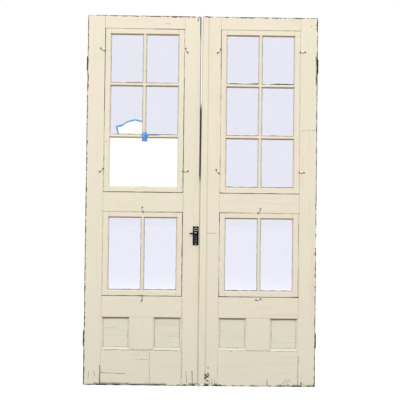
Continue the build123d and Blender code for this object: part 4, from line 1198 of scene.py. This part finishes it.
tapeMesh = bmesh.new()
patchRows, *tailPlace = crumplePatch(tapeMesh, tapeWork)
sheets = quadGrid(tapeMesh, patchRows)
sheets += quadGrid(tapeMesh, tapeTail(tapeMesh, *tailPlace, tapeWork))
bmesh.ops.recalc_face_normals(tapeMesh, faces=tapeMesh.faces)
bmesh.ops.solidify(tapeMesh, geom=sheets, thickness=tapeWork["thick"])
bmesh.ops.recalc_face_normals(tapeMesh, faces=tapeMesh.faces)
breakTape(tapeMesh, tapeWork)
finishPiece(tapeMesh, "left_tape.crumpled", finishes["tape"], "left_leaf", "left_tape", 50)
print("tape crumpled")

kept = {"steel": ("latch_bolt", "latch_cam", "latch_case", "left_hinge_screws", "right_hinge_screws"),
    "glass": ("left_panes", "right_panes", "left_broken_pane"), "putty": ("left_putty", "right_putty")}
for finish, names in kept.items():
    for name in names:
        nodes[name].material_slots[0].material = finishes[finish]
print("glass and fixings finished")


# plain studio

studio = {
    "floorSize": 120.0, "floorDrop": 1.0 * mm, "floorWhite": srgb(250, 250, 250), "floorGlow": 0.30,
    "floorBounce": (0.48, 0.47, 0.44, 1.0),
    "skyColour": (1.0, 1.0, 1.0, 1.0), "skyStrength": 0.765,
    "lamps": {
        "overhead": {"place": (-0.4, -3.6, 5.0), "aim": (0.0, 0.0, 0.9), "size": (4.5, 2.4), "watts": 86.0},
        "sideLeft": {"place": (-4.4, -4.4, 1.6), "aim": (0.0, 0.0, 0.9), "size": (2.0, 2.4), "watts": 45.0},
        "sideRight": {"place": (4.4, -4.4, 1.6), "aim": (0.0, 0.0, 0.9), "size": (2.0, 2.4), "watts": 45.0},
        "behind": {"place": (0.0, 4.6, 4.4), "aim": (0.0, 0.0, 1.0), "size": (3.5, 1.6), "watts": 40.0},
    },
}


def seenBy(tree):
    # the camera's view of it, direct, mirrored or through glass
    path = addNode(tree, "ShaderNodeLightPath")
    return most(path["Is Camera Ray"], path["Is Glossy Ray"], path["Is Transmission Ray"])


def setWorld(settings):
    world = bpy.data.worlds.new("studio")
    bpy.context.scene.world = world
    world.use_nodes = True
    tree = world.node_tree
    tree.nodes.clear()
    skies = [addNode(tree, "ShaderNodeBackground", {"Color": colour, "Strength": strength})[0]
            for colour, strength in ((settings["skyColour"], settings["skyStrength"]), ((1, 1, 1, 1), 1.0))]
    mix = addNode(tree, "ShaderNodeMixShader", {0: seenBy(tree), 1: skies[0], 2: skies[1]})
    addNode(tree, "ShaderNodeOutputWorld", {"Surface": mix[0]})


def floorRecipe(where, settings):
    seen = seenBy(where.tree)
    return {"Base Color": tint(seen, settings["floorBounce"], settings["floorWhite"]), "Roughness": 1.0,
        "Specular IOR Level": 0.0, "Emission Strength": settings["floorGlow"],
        "Emission Color": tint(seen, (0, 0, 0, 1), (1, 1, 1, 1))}


def setFloor(settings):
    half = settings["floorSize"] / 2
    mesh = bpy.data.meshes.new("floor")
    corners = [(x * half, y * half, -settings["floorDrop"]) for x, y in ((-1, -1), (1, -1), (1, 1), (-1, 1))]
    mesh.from_pydata(corners, [], [(0, 1, 2, 3)])
    mesh.materials.append(makeFinish("paleFloor", floorRecipe, settings))
    addObject("floor", mesh)


def setLamp(name, lamp):
    data = bpy.data.lights.new(name, "AREA")
    data.shape = "RECTANGLE"
    data.size, data.size_y = lamp["size"]
    data.energy = lamp["watts"]
    away = Vector(lamp["aim"]) - Vector(lamp["place"])
    turn = away.to_track_quat("-Z", "Y").to_matrix().to_4x4()
    addObject(name, data).matrix_world = Matrix.Translation(lamp["place"]) @ turn


setWorld(studio)
setFloor(studio)
for name, lamp in studio["lamps"].items():
    setLamp(name, lamp)
print("studio lit")
